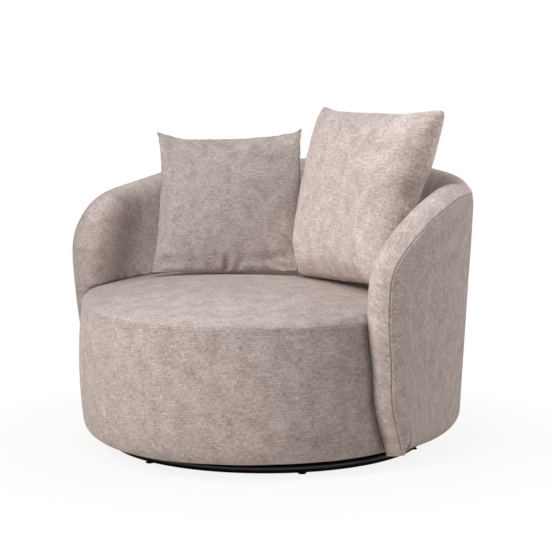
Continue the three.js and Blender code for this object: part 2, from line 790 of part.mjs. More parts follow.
// Ring base, which stays on the floor
const glide = turned(glideProfile(0), glideFacets);
const glideSocket = turned(glideProfile(clearance), glideFacets);
add("base_ring", carve(ringTube(0), ...glideTurns.map((turn) => glideAt(glideSocket, turn))), blackPaint);
glideTurns.forEach((turn, i) => add(`glide_${i + 1}`, glideAt(glide, turn), blackPlastic));
const ringCutter = ringTube(clearance);
add("cross_bar", carve(squareTube(-ringRadius, ringRadius), ringCutter, ...boltHoles), blackPaint);
const halfBar = squareTube(barWidth / 2 + clearance, ringRadius);
["rear", "front"].forEach((end, i) => {
  const bar = halfBar.clone().rotateZ((i ? -1 : 1) * Math.PI / 2);
  add(`cross_bar_${end}`, carve(bar, ringCutter, ...boltHoles), blackPaint);
});
const lowerPlate = bearingPlate(1, lowerPlateBottom, pivotRadius + clearance);
add("swivel_lower_plate", carve(lowerPlate, ...boltHoles), zincSteel);
const baseBolt = screw(baseBoltRadius, baseBoltLength, baseBoltHeadRadius, baseBoltHeadHeight);
boltTurns.forEach((turn, i) => add(`base_bolt_${i + 1}`, atFixing(baseBolt, turn, boltHeadSeat), zincSteel));
add("ball_cage", ballCage(), zincSteel);

// Swivelling part: bearing plate, deck and seat drum
const upperPlate = bearingPlate(-1, upperPlateTop, pivotRadius + clearance);
add("swivel_upper_plate", carve(upperPlate, ...screwHoles), zincSteel);
add("swivel_pivot", pivot(), zincSteel);
const deckScrew = screw(deckScrewRadius, deckScrewLength, deckScrewHeadRadius, deckScrewHeadHeight);
screwTurns.forEach((turn, i) =>
  add(`deck_screw_${i + 1}`, atFixing(deckScrew, turn, screwHeadSeat, true), zincSteel),
);
const deckTop = deckBottom + deckThickness;
add(
  "seat_deck",
  carve(
    ringOf([
      level(0, deckBottom, 0),
      level(frameInset, deckBottom),
      level(frameInset, deckTop),
      level(0, deckTop, 0),
    ]),
    ...screwHoles,
  ),
  plywood,
);
const coachHoles = blockAngles.map((angle) => throughBlock(coachScrewHole(), angle));
const bandInset = frameInset + wallThickness;
add(
  "drum_wall",
  carve(
    ringOf([
      level(bandInset, wallBottom),
      level(frameInset, wallBottom),
      level(frameInset, wallTop),
      level(bandInset, wallTop),
    ]),
    ...coachHoles,
  ),
  plywood,
);
const frameRingTop = frameRingBottom + frameRingThickness;
add(
  "seat_frame_ring",
  ringOf([
    level(frameInset + frameRingWidth, frameRingBottom),
    level(frameInset, frameRingBottom),
    level(frameInset, frameRingTop),
    level(frameInset + frameRingWidth, frameRingTop),
  ]),
  plywood,
);
range(webCount).forEach((i) => {
  const y = seatMiddle + webSpread * (i / (webCount - 1) - 0.5);
  add(`seat_web_${i + 1}`, seatWeb(y), webbing);
});
add(
  "seat_foam",
  ringOf([
    level(0, foamBottom, 0),
    level(padDepth, foamBottom),
    ...seatEdge(padDepth, [0]),
    ...seatEdge(padDepth, highRounding),
    ...seatCrownFace(padDepth),
  ]),
  paddingFoam,
);
const seatFace = (depth) => [...seatEdge(depth, highRounding), ...seatCrownFace(depth)];
add("seat_top_cover", ringOf(skin(seatFace), seatFace(0).length), chenille);

// Padded border round the front of the drum, from arm to arm
const borderTurns = range(drumFacets / 2 + 2 * borderTuckFacets + 1).map(
  (i) => -Math.PI + ((i - borderTuckFacets) / drumFacets) * 2 * Math.PI,
);
const borderOf = (stations, fold) =>
  loft(borderTurns.map((angle) => stations.map((at) => at(angle))), { fold });
const seamBelow = seamTurn - seamGap / seatEdgeRound;
const borderFace = (depth) => [
  level(drumBottomRound + borderWrap, drumBottom + depth),
  ...bottomRounding(depth, lowRounding),
  ...wallFace(depth, wallLevels.slice(1)),
  ...seatEdge(depth, [seamBelow]),
];
add("drum_border_cover", borderOf(skin(borderFace), borderFace(0).length), chenille);
add(
  "drum_border_foam",
  borderOf([
    level(frameInset - clearance, borderFoamTop),
    level(frameInset - clearance, drumBottom + padDepth),
    ...bottomRounding(padDepth, lowRounding.slice(1)),
    ...wallFace(padDepth, wallLevels.slice(1, -1)),
  ]),
  paddingFoam,
);
const dustTop = drumBottom - clearance;
const dustBottom = dustTop - dustCoverThickness;
const dustHole = (z) => (angle) =>
  point(dustCoverHole * Math.cos(angle), dustCoverHole * Math.sin(angle), z);
add(
  "dust_cover",
  ringOf([
    dustHole(dustBottom),
    level(dustCoverInset, dustBottom),
    level(dustCoverInset, dustTop),
    dustHole(dustTop),
  ]),
  blackCloth,
);

// Wrap-around shell
const drumCutter = drumSpace(clearance);
const panelSlot = shellPanel(clearance);
const blockSlots = blockAngles.map((angle) => mountingBlock(angle, clearance));
add("shell_panel", carve(shellPanel(), drumCutter, ...coachHoles), plywood);
const paddingCuts = [drumCutter, panelSlot, ...blockSlots, ...coachHoles];
add("shell_padding", carve(shellBody(padDepth), ...paddingCuts), paddingFoam);
add("shell_inner_cover", carve(shellSkin(innerFace), drumCutter), chenille);
add("shell_outer_cover", carve(shellSkin(outerWithWrap), drumCutter), chenille);
blockAngles.forEach((angle, i) => {
  add(`mounting_block_${i + 1}`, carve(mountingBlock(angle), panelSlot, coachHoles[i]), plywood);
  add(`coach_screw_${i + 1}`, throughBlock(coachScrew(), angle), zincSteel);
});

// Loose cushions
[smallCushion, largeCushion].forEach((cushion) => {
  const { cover, insert, zip } = cushionPieces(cushion);
  add(`${cushion.name}_cover`, cover, chenille);
  add(`${cushion.name}_insert`, insert, blackCloth);
  add(`${cushion.name}_zip`, zip, blackPlastic);
});

export default chair;
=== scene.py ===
import math

import bmesh
import bpy
import numpy as np
from mathutils import Euler, Matrix, Vector, noise
from mathutils.bvhtree import BVHTree
from mathutils.kdtree import KDTree


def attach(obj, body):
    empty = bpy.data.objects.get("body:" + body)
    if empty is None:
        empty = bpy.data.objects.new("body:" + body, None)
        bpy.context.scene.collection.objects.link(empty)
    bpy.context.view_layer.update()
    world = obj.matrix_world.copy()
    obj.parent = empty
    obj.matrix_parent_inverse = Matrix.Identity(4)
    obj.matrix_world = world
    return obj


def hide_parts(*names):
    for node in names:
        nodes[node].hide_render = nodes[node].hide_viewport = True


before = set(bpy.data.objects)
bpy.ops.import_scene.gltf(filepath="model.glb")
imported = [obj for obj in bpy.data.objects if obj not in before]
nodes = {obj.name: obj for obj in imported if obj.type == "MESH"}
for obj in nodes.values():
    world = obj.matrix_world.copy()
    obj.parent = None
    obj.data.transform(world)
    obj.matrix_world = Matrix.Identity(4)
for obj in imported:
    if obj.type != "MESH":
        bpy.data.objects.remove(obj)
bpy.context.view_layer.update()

mm = 0.001
print("frame loaded")


# small helpers

def deselectAll():
    bpy.ops.object.select_all(action="DESELECT")


def makeActive(piece):
    deselectAll()
    piece.select_set(True)
    bpy.context.view_layer.objects.active = piece


def inEditMode(piece, *operations):
    makeActive(piece)
    bpy.ops.object.mode_set(mode="EDIT")
    bpy.ops.mesh.select_all(action="SELECT")
    for operation, settings in operations:
        operation(**settings)
    bpy.ops.object.mode_set(mode="OBJECT")


def addModifier(piece, kind, **settings):
    modifier = piece.modifiers.new(kind.title(), kind)
    for name, value in settings.items():
        setattr(modifier, name, value)
    return modifier


def applyModifiers(piece):
    makeActive(piece)
    for modifier in list(piece.modifiers):
        bpy.ops.object.modifier_apply(modifier=modifier.name)


def applyPlace(piece):
    makeActive(piece)
    bpy.ops.object.transform_apply(location=True, rotation=True, scale=True)


def signedPower(value, power):
    return math.copysign(abs(value) ** power, value)


def smoothstep(value, low, high):
    share = min(max((value - low) / (high - low), 0), 1)
    return share * share * (3 - 2 * share)


def mixed(a, b, share):
    return a + (b - a) * share


# materials

def linear(hexColour):
    # the usual curve from sRGB values to linear light
    channels = [int(hexColour[i:i + 2], 16) / 255 for i in (1, 3, 5)]
    return [c / 12.92 if c <= 0.04045 else ((c + 0.055) / 1.055) ** 2.4 for c in channels] + [1]


def newMaterial(name, viewport):
    material = bpy.data.materials.new(name)
    material.use_nodes = True
    material.diffuse_color = linear(viewport)
    return material, material.node_tree


def openSocket(sockets, key):
    # a node can have several sockets of one name, of which the one in use is enabled
    if isinstance(key, int):
        return sockets[key]
    return next(socket for socket in sockets if socket.name == key and socket.enabled)


def addNode(tree, kind, inputs=None, **settings):
    made = tree.nodes.new(kind)
    for name, value in settings.items():
        setattr(made, name, value)
    for key, value in (inputs or {}).items():
        socket = openSocket(made.inputs, key)
        if isinstance(value, bpy.types.NodeSocket):
            tree.links.new(value, socket)
        else:
            socket.default_value = value
    return made


def placeStops(ramp, stops):
    elements = ramp.color_ramp.elements
    while len(elements) < len(stops):
        elements.new(0.5)
    for element, (place, colour) in zip(elements, stops):
        element.position = place
        element.color = linear(colour)
    return ramp.outputs["Color"]


def stretchedNoise(tree, coordinates, lengths, detail, roughness=0.55):
    # lengths are the pattern's real sizes in mm along the weft, the warp and the thickness
    scale = [1 / (length * mm) for length in lengths]
    placed = addNode(tree, "ShaderNodeMapping", {"Vector": coordinates, "Scale": scale}, vector_type="POINT")
    return addNode(tree, "ShaderNodeTexNoise", {
        "Vector": placed.outputs["Vector"], "Scale": 1,
        "Detail": detail, "Roughness": roughness}).outputs["Fac"]


# Chenille weave in polyester yarn: soft and quite matt, with a short pile that lightens at grazing angles.
# Each yarn is dyed a little unevenly, so the cloth reads as a warm grey mottle. The real yarns lie 1.2 mm
# apart, which is finer than the render can show, so they are drawn 2 mm apart. Sizes are in mm, and a
# pattern's weight is how far it moves the cloth between its dark and its light colour.
chenille = {
    "yarnSpacing": 2,
    "yarnLength": 11,
    "yarnDetail": 1.5,
    "yarnSpread": (0.55, 1.45),
    "yarnWeight": 0.95,
    "slub": (34, 2.8, 8),
    "slubWeight": 0.5,
    "mottle": (15, 22.5, 15),
    "mottleDetail": 3,
    "mottleWeight": 0.3,
    "nap": (42, 58.8, 42),
    "napDetail": 2,
    "napWeight": 0.62,
    "dark": "#91837d",
    "middle": "#b6a9a4",
    "light": "#d8cfcb",
    "darkAt": 0.08,
    "lightAt": 0.92,
    "paleYarn": (48, 2.6, 8),
    "paleYarnColour": "#dbd2c8",
    "paleYarnRange": (0.57, 0.72),
    "paleYarnMost": 0.6,
    "bumpDepth": 0.6,
    "bumpStrength": 0.45,
    "roughness": 0.92,
    "specular": 0.15,
    "sheen": 0.22,
    "sheenRoughness": 0.45,
    "sheenTint": "#e4dad5",
}


def wovenCloth(name, look):
    material, tree = newMaterial(name, look["middle"])
    shader = tree.nodes["Principled BSDF"]
    cloth = addNode(tree, "ShaderNodeUVMap", uv_map="cloth").outputs["UV"]
    spacing, length = look["yarnSpacing"], look["yarnLength"]
    weft = stretchedNoise(tree, cloth, (length, spacing, spacing), look["yarnDetail"])
    warp = stretchedNoise(tree, cloth, (spacing, length, spacing), look["yarnDetail"])
    slub = stretchedNoise(tree, cloth, look["slub"], 1)
    mottle = stretchedNoise(tree, cloth, look["mottle"], look["mottleDetail"])
    nap = stretchedNoise(tree, cloth, look["nap"], look["napDetail"])
    yarns = addNode(tree, "ShaderNodeMath", {0: weft, 1: warp}, operation="ADD").outputs[0]
    low, high = look["yarnSpread"]
    fine = addNode(tree, "ShaderNodeMapRange", {
        "Value": yarns, "From Min": low, "From Max": high, "To Min": -0.5, "To Max": 0.5}).outputs["Result"]
    tone = addNode(tree, "ShaderNodeMath", {0: fine, 1: look["yarnWeight"], 2: 0.5}, operation="MULTIPLY_ADD")
    for pattern, weight in ((slub, "slubWeight"), (mottle, "mottleWeight"), (nap, "napWeight")):
        centred = addNode(tree, "ShaderNodeMath", {0: pattern, 1: 0.5}, operation="SUBTRACT")
        grown = addNode(tree, "ShaderNodeMath", {
            0: centred.outputs[0], 1: look[weight]}, operation="MULTIPLY")
        tone = addNode(tree, "ShaderNodeMath", {0: tone.outputs[0], 1: grown.outputs[0]}, operation="ADD")
    tone = tone.outputs[0]
    stops = [(look["darkAt"], look["dark"]), (0.5, look["middle"]), (look["lightAt"], look["light"])]
    plain = placeStops(addNode(tree, "ShaderNodeValToRGB", {"Fac": tone}), stops)
    # here and there a thicker, paler yarn runs through the weft
    paleYarn = stretchedNoise(tree, cloth, look["paleYarn"], 1)
    low, high = look["paleYarnRange"]
    share = addNode(tree, "ShaderNodeMapRange", {
        "Value": paleYarn, "From Min": low, "From Max": high, "To Min": 0, "To Max": look["paleYarnMost"]})
    colour = addNode(tree, "ShaderNodeMix", {
        "Factor": share.outputs["Result"], "A": plain, "B": linear(look["paleYarnColour"])}, data_type="RGBA")
    colour = openSocket(colour.outputs, "Result")
    # painted light and shade laid over each cover, lightening or darkening its colour, and painted shade where
    # another piece lies close
    paintedShading = addNode(tree, "ShaderNodeAttribute", attribute_name="paintedShading").outputs["Fac"]
    colour = addNode(tree, "ShaderNodeVectorMath", {0: colour, "Scale": paintedShading}, operation="SCALE")
    bump = addNode(tree, "ShaderNodeBump", {
        "Height": tone, "Strength": look["bumpStrength"], "Distance": look["bumpDepth"] * mm})
    tree.links.new(colour.outputs["Vector"], shader.inputs["Base Color"])
    tree.links.new(bump.outputs["Normal"], shader.inputs["Normal"])
    shader.inputs["Roughness"].default_value = look["roughness"]
    shader.inputs["Specular IOR Level"].default_value = look["specular"]
    shader.inputs["Sheen Weight"].default_value = look["sheen"]
    shader.inputs["Sheen Roughness"].default_value = look["sheenRoughness"]
    shader.inputs["Sheen Tint"].default_value = linear(look["sheenTint"])
    return material


# what the plain finishes share: where their two colours stand, how far their gloss varies, their relief in mm
plainFinish = {"detail": 4, "baseAt": 0.3, "otherAt": 0.7, "glossSpread": 0.06, "relief": 0.3,
               "coatRoughness": 0.12}


def speckled(name, base, other, size, roughness, metallic=0, bump=0.1, coat=0, stretch=(1, 1, 1)):
    # a plain finish with the slight unevenness that its making leaves, at a size in mm
    material, tree = newMaterial(name, base)
    shader = tree.nodes["Principled BSDF"]
    place = addNode(tree, "ShaderNodeTexCoord").outputs["Object"]
    pattern = stretchedNoise(tree, place, [size * s for s in stretch], plainFinish["detail"])
    ramp = addNode(tree, "ShaderNodeValToRGB", {"Fac": pattern})
    colour = placeStops(ramp, [(plainFinish["baseAt"], base), (plainFinish["otherAt"], other)])
    spread = plainFinish["glossSpread"]
    rough = addNode(tree, "ShaderNodeMapRange", {
        "Value": pattern, "To Min": roughness - spread, "To Max": roughness + spread}).outputs["Result"]
    relief = addNode(tree, "ShaderNodeBump", {
        "Height": pattern, "Strength": bump, "Distance": plainFinish["relief"] * mm})
    tree.links.new(colour, shader.inputs["Base Color"])
    tree.links.new(rough, shader.inputs["Roughness"])
    tree.links.new(relief.outputs["Normal"], shader.inputs["Normal"])
    shader.inputs["Metallic"].default_value = metallic
    shader.inputs["Coat Weight"].default_value = coat
    shader.inputs["Coat Roughness"].default_value = plainFinish["coatRoughness"]
    return material


upholstery = wovenCloth("chenilleWeave", chenille)
# twisted polyester sewing thread, a shade lighter than the cloth and slightly glossy
sewingThread = speckled("sewingThread", "#c9bdb7", "#d8cdc8", 0.8, 0.6)
# black powder coat on steel tube: an orange-peel gloss, so that the ring shows a soft line of light
powderCoat = speckled("blackPowderCoat", "#070707", "#0c0c0d", 1.5, 0.32, bump=0.1, coat=0.1)
# zinc-plated pressed steel: pale, slightly bluish metal with a fine cloud
zincSteel = speckled("zincPlatedSteel", "#a9acb0", "#c3c5c8", 6, 0.34, metallic=1)
# moulded polypropylene glides: matt black with a fine grain
glidePlastic = speckled("mouldedBlackPlastic", "#161617", "#1f1f20", 0.8, 0.55)
# birch plywood, raw: long pale grain
birchPly = speckled("rawBirchPlywood", "#bd9a68", "#d2b384", 3, 0.7, stretch=(14, 1, 1))
# open-cell polyurethane foam, cream and quite matt
cutFoam = speckled("cutFoam", "#ded4b8", "#eee6cf", 1.6, 0.95, bump=0.6)
# elasticated webbing: ribbed across in dark brown
webbingBand = speckled("elasticWebbing", "#3b342d", "#5a5047", 2.4, 0.9, bump=0.5, stretch=(1, 12, 1))
# spun-bonded polypropylene dust cloth: thin, black, faintly dimpled
dustCloth = speckled("spunBondedLining", "#141415", "#232325", 1.8, 0.9, bump=0.5)
print("materials made")


# the drum's and the shell's form, in mm as in the part's source

drum = {
    "halfWidth": 480,
    "setForward": 72,
    "frontPower": 1.8,
    "bottom": 39,
    "bottomRound": 44,
    "top": 415,
    "edgeRound": 25,
    "crown": 34,
    "bulge": 10,
    "foamDepth": 72,
    "seamTurn": 15,
    "bulgeFades": (0.2, 0.6),
    "wrap": 55,
}
shell = {
    "halfWidth": 476,
    "halfDepth": 480,
    "setForward": 4,
    "power": 2.2,
    "thickness": 90,
    "bottom": 40,
    "height": 734,
    "rimRound": 63,
    "bottomRound": 54,
    "sideFlare": 45,
    "backFlare": 25,
    "flareHeight": 600,
    "seamInset": 29,
    "tuckRamp": 60,
    "footSpread": 1.6,
    "roundRows": 0.35,
    "roundMost": 0.28,
    "wrap": 43,
    "rimSteps": 1601,
    "rimAngles": [104, 109, 110, 112, 110, 91.5, 55.5, 0],
    "rimShares": [0, 0.193, 0.336, 0.562, 0.749, 0.936, 0.98, 1],
}
# the padding has settled: how far the rim lies under or over its line on each side, round which angle
settled = {-1: {"drop": 29, "angle": 84, "reach": 17}, 1: {"drop": -14, "angle": 80, "reach": 12}}
cover = {"thickness": 1.5, "gap": 0.5, "unevenness": 0.9, "unevenSize": 130, "weld": 0.01}

rimAbove = shell["height"] - shell["rimRound"] - shell["bottom"]
shellBackReach = (shell["halfDepth"] - shell["setForward"] + shell["thickness"] / 2
                  + shell["backFlare"] * rimAbove / shell["flareHeight"])
drumFrontReach = shellBackReach - drum["setForward"] - drum["bulge"]
drumBackReach = shell["halfDepth"] - shell["setForward"] + drum["setForward"]
wallFoot = drum["bottom"] + drum["bottomRound"]
wallHead = drum["top"] - drum["edgeRound"]
crownFoot = math.pi / 2 - math.atan(2 * drum["crown"] / (drum["halfWidth"] - drum["edgeRound"]))
seamTurn = math.radians(drum["seamTurn"])


def drumPoint(angle, inset, z, share=1):
    c, s = math.cos(angle), math.sin(angle)
    reach = drumFrontReach if s < 0 else drumBackReach
    power = 2 / (drum["frontPower"] if s < 0 else shell["power"])
    x = (drum["halfWidth"] - inset) * share * signedPower(c, power)
    y = (reach - inset) * share * signedPower(s, power) - drum["setForward"]
    return Vector((x, y, z))


def borderPoint(angle, inset, z):
    across = min(max((2 * z - wallFoot - wallHead) / (wallHead - wallFoot), -1), 1)
    front = smoothstep(-math.sin(angle), *drum["bulgeFades"])
    return drumPoint(angle, inset - drum["bulge"] * front * (1 - across * across), z)


def crownPoint(angle, share, depth=0):
    radius = drum["edgeRound"] - depth
    inset = drum["edgeRound"] - radius * math.cos(crownFoot)
    foot = wallHead + radius * math.sin(crownFoot)
    return drumPoint(angle, inset, foot + drum["crown"] * (1 - share * share), share)


def edgePoint(angle, turn, depth=0):
    radius = drum["edgeRound"] - depth
    return borderPoint(angle, drum["edgeRound"] - radius * math.cos(turn), wallHead + radius * math.sin(turn))


def bottomPoint(angle, turn, depth=0):
    radius = drum["bottomRound"] - depth
    inset = drum["bottomRound"] - radius * math.sin(turn)
    return borderPoint(angle, inset, wallFoot - radius * math.cos(turn))


def centripetalCurve(points, steps, spanSteps=40):
    # a smooth line through points in the flat (girth, height) plane, spaced evenly along its length
    ends = [2 * points[0] - points[1]] + list(points) + [2 * points[-1] - points[-2]]
    line = []
    for i in range(1, len(ends) - 2):
        p0, p1, p2, p3 = ends[i - 1:i + 3]
        d0, d1, d2 = (max(np.linalg.norm(b - a), 1e-6) ** 0.5 for a, b in ((p0, p1), (p1, p2), (p2, p3)))
        m1 = ((p1 - p0) / d0 - (p2 - p0) / (d0 + d1) + (p2 - p1) / d1) * d1
        m2 = ((p2 - p1) / d1 - (p3 - p1) / (d1 + d2) + (p3 - p2) / d2) * d1
        for t in np.linspace(0, 1, spanSteps, endpoint=False):
            line.append(p1 * (2 * t**3 - 3 * t**2 + 1) + m1 * (t**3 - 2 * t**2 + t)
                        + p2 * (3 * t**2 - 2 * t**3) + m2 * (t**3 - t**2))
    line.append(points[-1])
    line = np.array(line)
    run = np.concatenate([[0], np.cumsum(np.linalg.norm(np.diff(line, axis=0), axis=1))])
    even = np.linspace(0, run[-1], steps)
    return np.stack([np.interp(even, run, line[:, k]) for k in (0, 1)], axis=1)


rimOutline = [np.array([math.radians(a) * shell["halfWidth"],
                        shell["bottom"] + h * (shell["height"] - shell["bottom"])])
              for a, h in zip(shell["rimAngles"], shell["rimShares"])]
rimLine = centripetalCurve(rimOutline + [p * (-1, 1) for p in rimOutline[-2::-1]], shell["rimSteps"])
rimHeading = np.gradient(rimLine, axis=0)
rimHeading /= np.linalg.norm(rimHeading, axis=1)[:, None]
tipGirth = rimOutline[0][0]


def shellPoint(girth, z, offset):
    angle = girth / shell["halfWidth"]
    back = (1 + math.cos(angle)) / 2
    lean = mixed(shell["sideFlare"], shell["backFlare"], back) * (z - shell["bottom"]) / shell["flareHeight"]
    a, b = shell["halfWidth"] + lean, shell["halfDepth"] + lean
    x = a * signedPower(math.sin(angle), 2 / shell["power"])
    y = b * signedPower(math.cos(angle), 2 / shell["power"])
    out = Vector((signedPower(x / a, shell["power"] - 1) / a, signedPower(y / b, shell["power"] - 1) / b, 0))
    return Vector((x, y - shell["setForward"], z)) + out.normalized() * offset


def gridLine(across):
    # across runs from -1 at one arm's foot over the middle of the back to 1 at the other arm's foot
    along, side = abs(across), math.copysign(1, across)
    if along < 1e-6:
        return {"girth": 0, "z": shell["height"], "in": (0, -1), "side": side, "spread": 1}
    place = (1 - along) / 2 * (len(rimLine) - 1)
    low = min(int(place), len(rimLine) - 2)
    at = mixed(rimLine[low], rimLine[low + 1], place - low)
    heading = mixed(rimHeading[low], rimHeading[low + 1], place - low)
    inwards = (-1, 0) if along > 1 - 1e-6 else (-heading[1], heading[0])
    sink = settled[int(side)]
    around = math.degrees(at[0] / shell["halfWidth"])
    drop = sink["drop"] * math.exp(-(((around - sink["angle"]) / sink["reach"]) ** 2))
    spread = max(1 - along, 0) ** shell["footSpread"]
    return {"girth": at[0], "z": at[1] - drop, "in": inwards, "side": side, "spread": spread}


def shellStation(line, girth, z, depth, across):
    radius = shell["bottomRound"] - depth
    rise = min(max((z - shell["bottom"] - depth) / radius, 0), 1)
    tuck = smoothstep(tipGirth - girth, shell["seamInset"], shell["seamInset"] + shell["tuckRamp"])
    under = radius * (1 - math.sqrt(max(1 - (1 - rise) ** 2, 0))) * tuck if across > 0 else 0
    return shellPoint(line["side"] * girth, z, (shell["thickness"] / 2 - depth) * across - under)


def rimStation(line, depth, turn):
    into = depth + (shell["rimRound"] - depth) * (1 - math.cos(turn))
    z = max(line["z"] + line["in"][1] * into, shell["bottom"] + depth)
    return shellStation(line, line["girth"] + line["in"][0] * into, z, depth, math.sin(turn))


def faceStation(line, depth, up, across):
    foot = ((tipGirth - shell["rimRound"]) * (1 - line["spread"]), shell["bottom"] + depth)
    head = (line["girth"] + line["in"][0] * shell["rimRound"],
            max(line["z"] + line["in"][1] * shell["rimRound"], foot[1]))
    return shellStation(line, mixed(foot[0], head[0], up), mixed(foot[1], head[1], up), depth, across)


def rounded(share, line):
    # how far up a line a share of the outer face lies, with the lowest stations close together on the round
    rows = shell["roundRows"]
    height = max(line["z"] + line["in"][1] * shell["rimRound"] - shell["bottom"], 1)
    roundPart = min(shell["bottomRound"] / height, shell["roundMost"])
    if share < rows:
        return roundPart * (1 - math.cos(share / rows * math.pi / 2))
    return mixed(roundPart, 1, (share - rows) / (1 - rows))


# cloth that is cut flat and wrapped round the forms

def clothSheet(name, columns, rows, place, measure=None, upright=False):
    # a flat grid, each of whose points is laid at place(s, t); measure gives the cloth's own coordinates in
    # mm, and upright cloth has its weft running up
    deselectAll()
    bpy.ops.mesh.primitive_grid_add(x_subdivisions=columns, y_subdivisions=rows, size=2)
    piece = bpy.context.object
    piece.name = piece.data.name = name
    mesh = piece.data
    mesh.uv_layers[0].name = "cloth"
    shares = [((v.co.x + 1) / 2, (v.co.y + 1) / 2) for v in mesh.vertices]
    laid = [place(s, t) for s, t in shares]
    if measure is None:
        flat = measuredRuns(shares, laid)
    else:
        flat = [measure(s, t) for s, t in shares]
    for vertex, spot in zip(mesh.vertices, laid):
        vertex.co = spot * mm
    for loop in mesh.loops:
        u, v = flat[loop.vertex_index][::-1] if upright else flat[loop.vertex_index]
        mesh.uv_layers["cloth"].data[loop.index].uv = (u * mm, v * mm)
    return piece


def measuredRuns(shares, laid, digits=6):
    # the length run along each row and each column of the grid, so that the weave keeps its size
    columns = sorted({round(s, digits) for s, _ in shares})
    rows = sorted({round(t, digits) for _, t in shares})
    places = [(rows.index(round(t, digits)), columns.index(round(s, digits))) for s, t in shares]
    table = np.zeros((len(rows), len(columns), 3))
    for (i, j), spot in zip(places, laid):
        table[i, j] = spot
    up = np.zeros(table.shape[:2])
    up[1:] = np.cumsum(np.linalg.norm(np.diff(table, axis=0), axis=2), axis=0)
    widest = np.linalg.norm(np.diff(table, axis=1), axis=2).max(axis=0)
    along = np.zeros(len(columns))
    along[1:] = np.cumsum(widest)
    along -= along[len(columns) // 2]
    return [(along[j], up[i, j]) for i, j in places]


def solidForm(name, place, columns, rows):
    # a closed form that only presses or cuts others and never shows
    piece = clothSheet(name, columns, rows, place, lambda s, t: (s, t))
    closedUp(piece)
    return piece


def facingOut(piece, middle):
    # turns an open sheet so that its faces look away from a point inside
    mesh = piece.data
    outward = sum((f.center - middle).dot(f.normal) * f.area for f in mesh.polygons)
    if outward < 0:
        inEditMode(piece, (bpy.ops.mesh.flip_normals, {}))


unevenness = {"shift": (3.1, 1.7, 5.3), "fineAmount": 0.4, "fineScale": 2.3}


def uneven(piece, amount, size, seed):
    # stretched cloth over foam is never quite true: amount and size are in mm
    offset = Vector([seed * shift for shift in unevenness["shift"]])
    mesh = piece.data
    normals = [v.normal.copy() for v in mesh.vertices]
    for vertex, normal in zip(mesh.vertices, normals):
        spot = vertex.co / (size * mm) + offset
        fine = noise.noise(spot * unevenness["fineScale"])
        swell = 1 + noise.noise(spot) + unevenness["fineAmount"] * fine
        vertex.co += normal * swell * amount * mm


def layPaintedShading(piece, shade, *beside, touching=2):
    # painted light and shade: shade gives, for a place in mm, the tone that the cloth's colour is multiplied by;
    # each piece beside is given as its surface, how far in mm its painted shade reaches, and the tone painted
    # where they touch
    layer = piece.data.attributes.new("paintedShading", "FLOAT", "POINT")
    for vertex, value in zip(piece.data.vertices, layer.data):
        lit = shade(vertex.co / mm)
        for tree, reach, dark in beside:
            gap = tree.find_nearest(vertex.co, reach * mm)[3]
            if gap is not None:
                lit *= mixed(dark, 1, smoothstep(gap / mm, touching, reach))
        value.value = lit


def closedUp(piece, distance=0.05):
    inEditMode(piece,
               (bpy.ops.mesh.remove_doubles, {"threshold": distance * mm}),
               (bpy.ops.mesh.normals_make_consistent, {"inside": False}))
    makeActive(piece)
    bpy.ops.object.shade_smooth()


def thicken(piece):
    addModifier(piece, "SOLIDIFY", thickness=cover["thickness"] * mm, offset=-1)
    applyModifiers(piece)


def dress(piece, material, slotName, body, *replaced):
    piece.data.materials.clear()
    piece.data.materials.append(material)
    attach(piece, body)
    if replaced:
        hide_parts(*replaced)
    return piece


def seamDip(distance, depth=1.1, reach=1.3, ridge=0.5, ridgeAt=4.5, ridgeReach=3):
    # cloth is drawn down into a seam and swells a little beside it
    swell = ridge * math.exp(-(((distance - ridgeAt) / ridgeReach) ** 2))
    return depth * math.exp(-((distance / reach) ** 2)) - swell


# seat drum

def surfaceOf(piece):
    tree = bmesh.new()
    tree.from_mesh(piece.data)
    made = BVHTree.FromBMesh(tree)
    tree.free()
    return made


drumMiddle = Vector((0, -drum["setForward"], drum["top"] / 2)) * mm
# rows run from the crown's middle down to the seam, and the last of them lie this many mm from it
seatCloth = {"around": 144, "crownRows": 22, "crowding": 0.8, "edgeRows": 9, "clear": 0.12,
             "besideSeam": (1.75, 1.1, 0.5, 0), "unevenness": 1.6, "unevenSize": 170, "seed": 2,
             "drawnIn": 0.991, "aboveDeck": 1}


def seatRows():
    crown = np.linspace(0, 1, seatCloth["crownRows"]) ** seatCloth["crowding"]
    turns = np.linspace(crownFoot, seamTurn + seatCloth["clear"], seatCloth["edgeRows"])[1:]
    close = seamTurn + np.array(seatCloth["besideSeam"]) / drum["edgeRound"]
    return [("crown", share) for share in crown] + [("edge", turn) for turn in (*turns, *close)]


seatStations = seatRows()


def seatPlace(s, t):
    kind, value = seatStations[round(t * (len(seatStations) - 1))]
    angle = 2 * math.pi * s
    if kind == "crown":
        return crownPoint(angle, value)
    dip = seamDip((value - seamTurn) * drum["edgeRound"])
    return edgePoint(angle, value, dip)


def seatMeasure(s, t):
    spot = seatPlace(s, t)
    kind, value = seatStations[round(t * (len(seatStations) - 1))]
    run = 0 if kind == "crown" else (crownFoot - value) * drum["edgeRound"]
    grow = 1 + run / math.hypot(spot.x, spot.y)
    return spot.x * grow, spot.y * grow


seatTop = clothSheet("seatTop", seatCloth["around"], len(seatStations) - 1, seatPlace, seatMeasure)
facingOut(seatTop, drumMiddle)
closedUp(seatTop)
facingOut(seatTop, drumMiddle)
uneven(seatTop, seatCloth["unevenness"], seatCloth["unevenSize"], seatCloth["seed"])


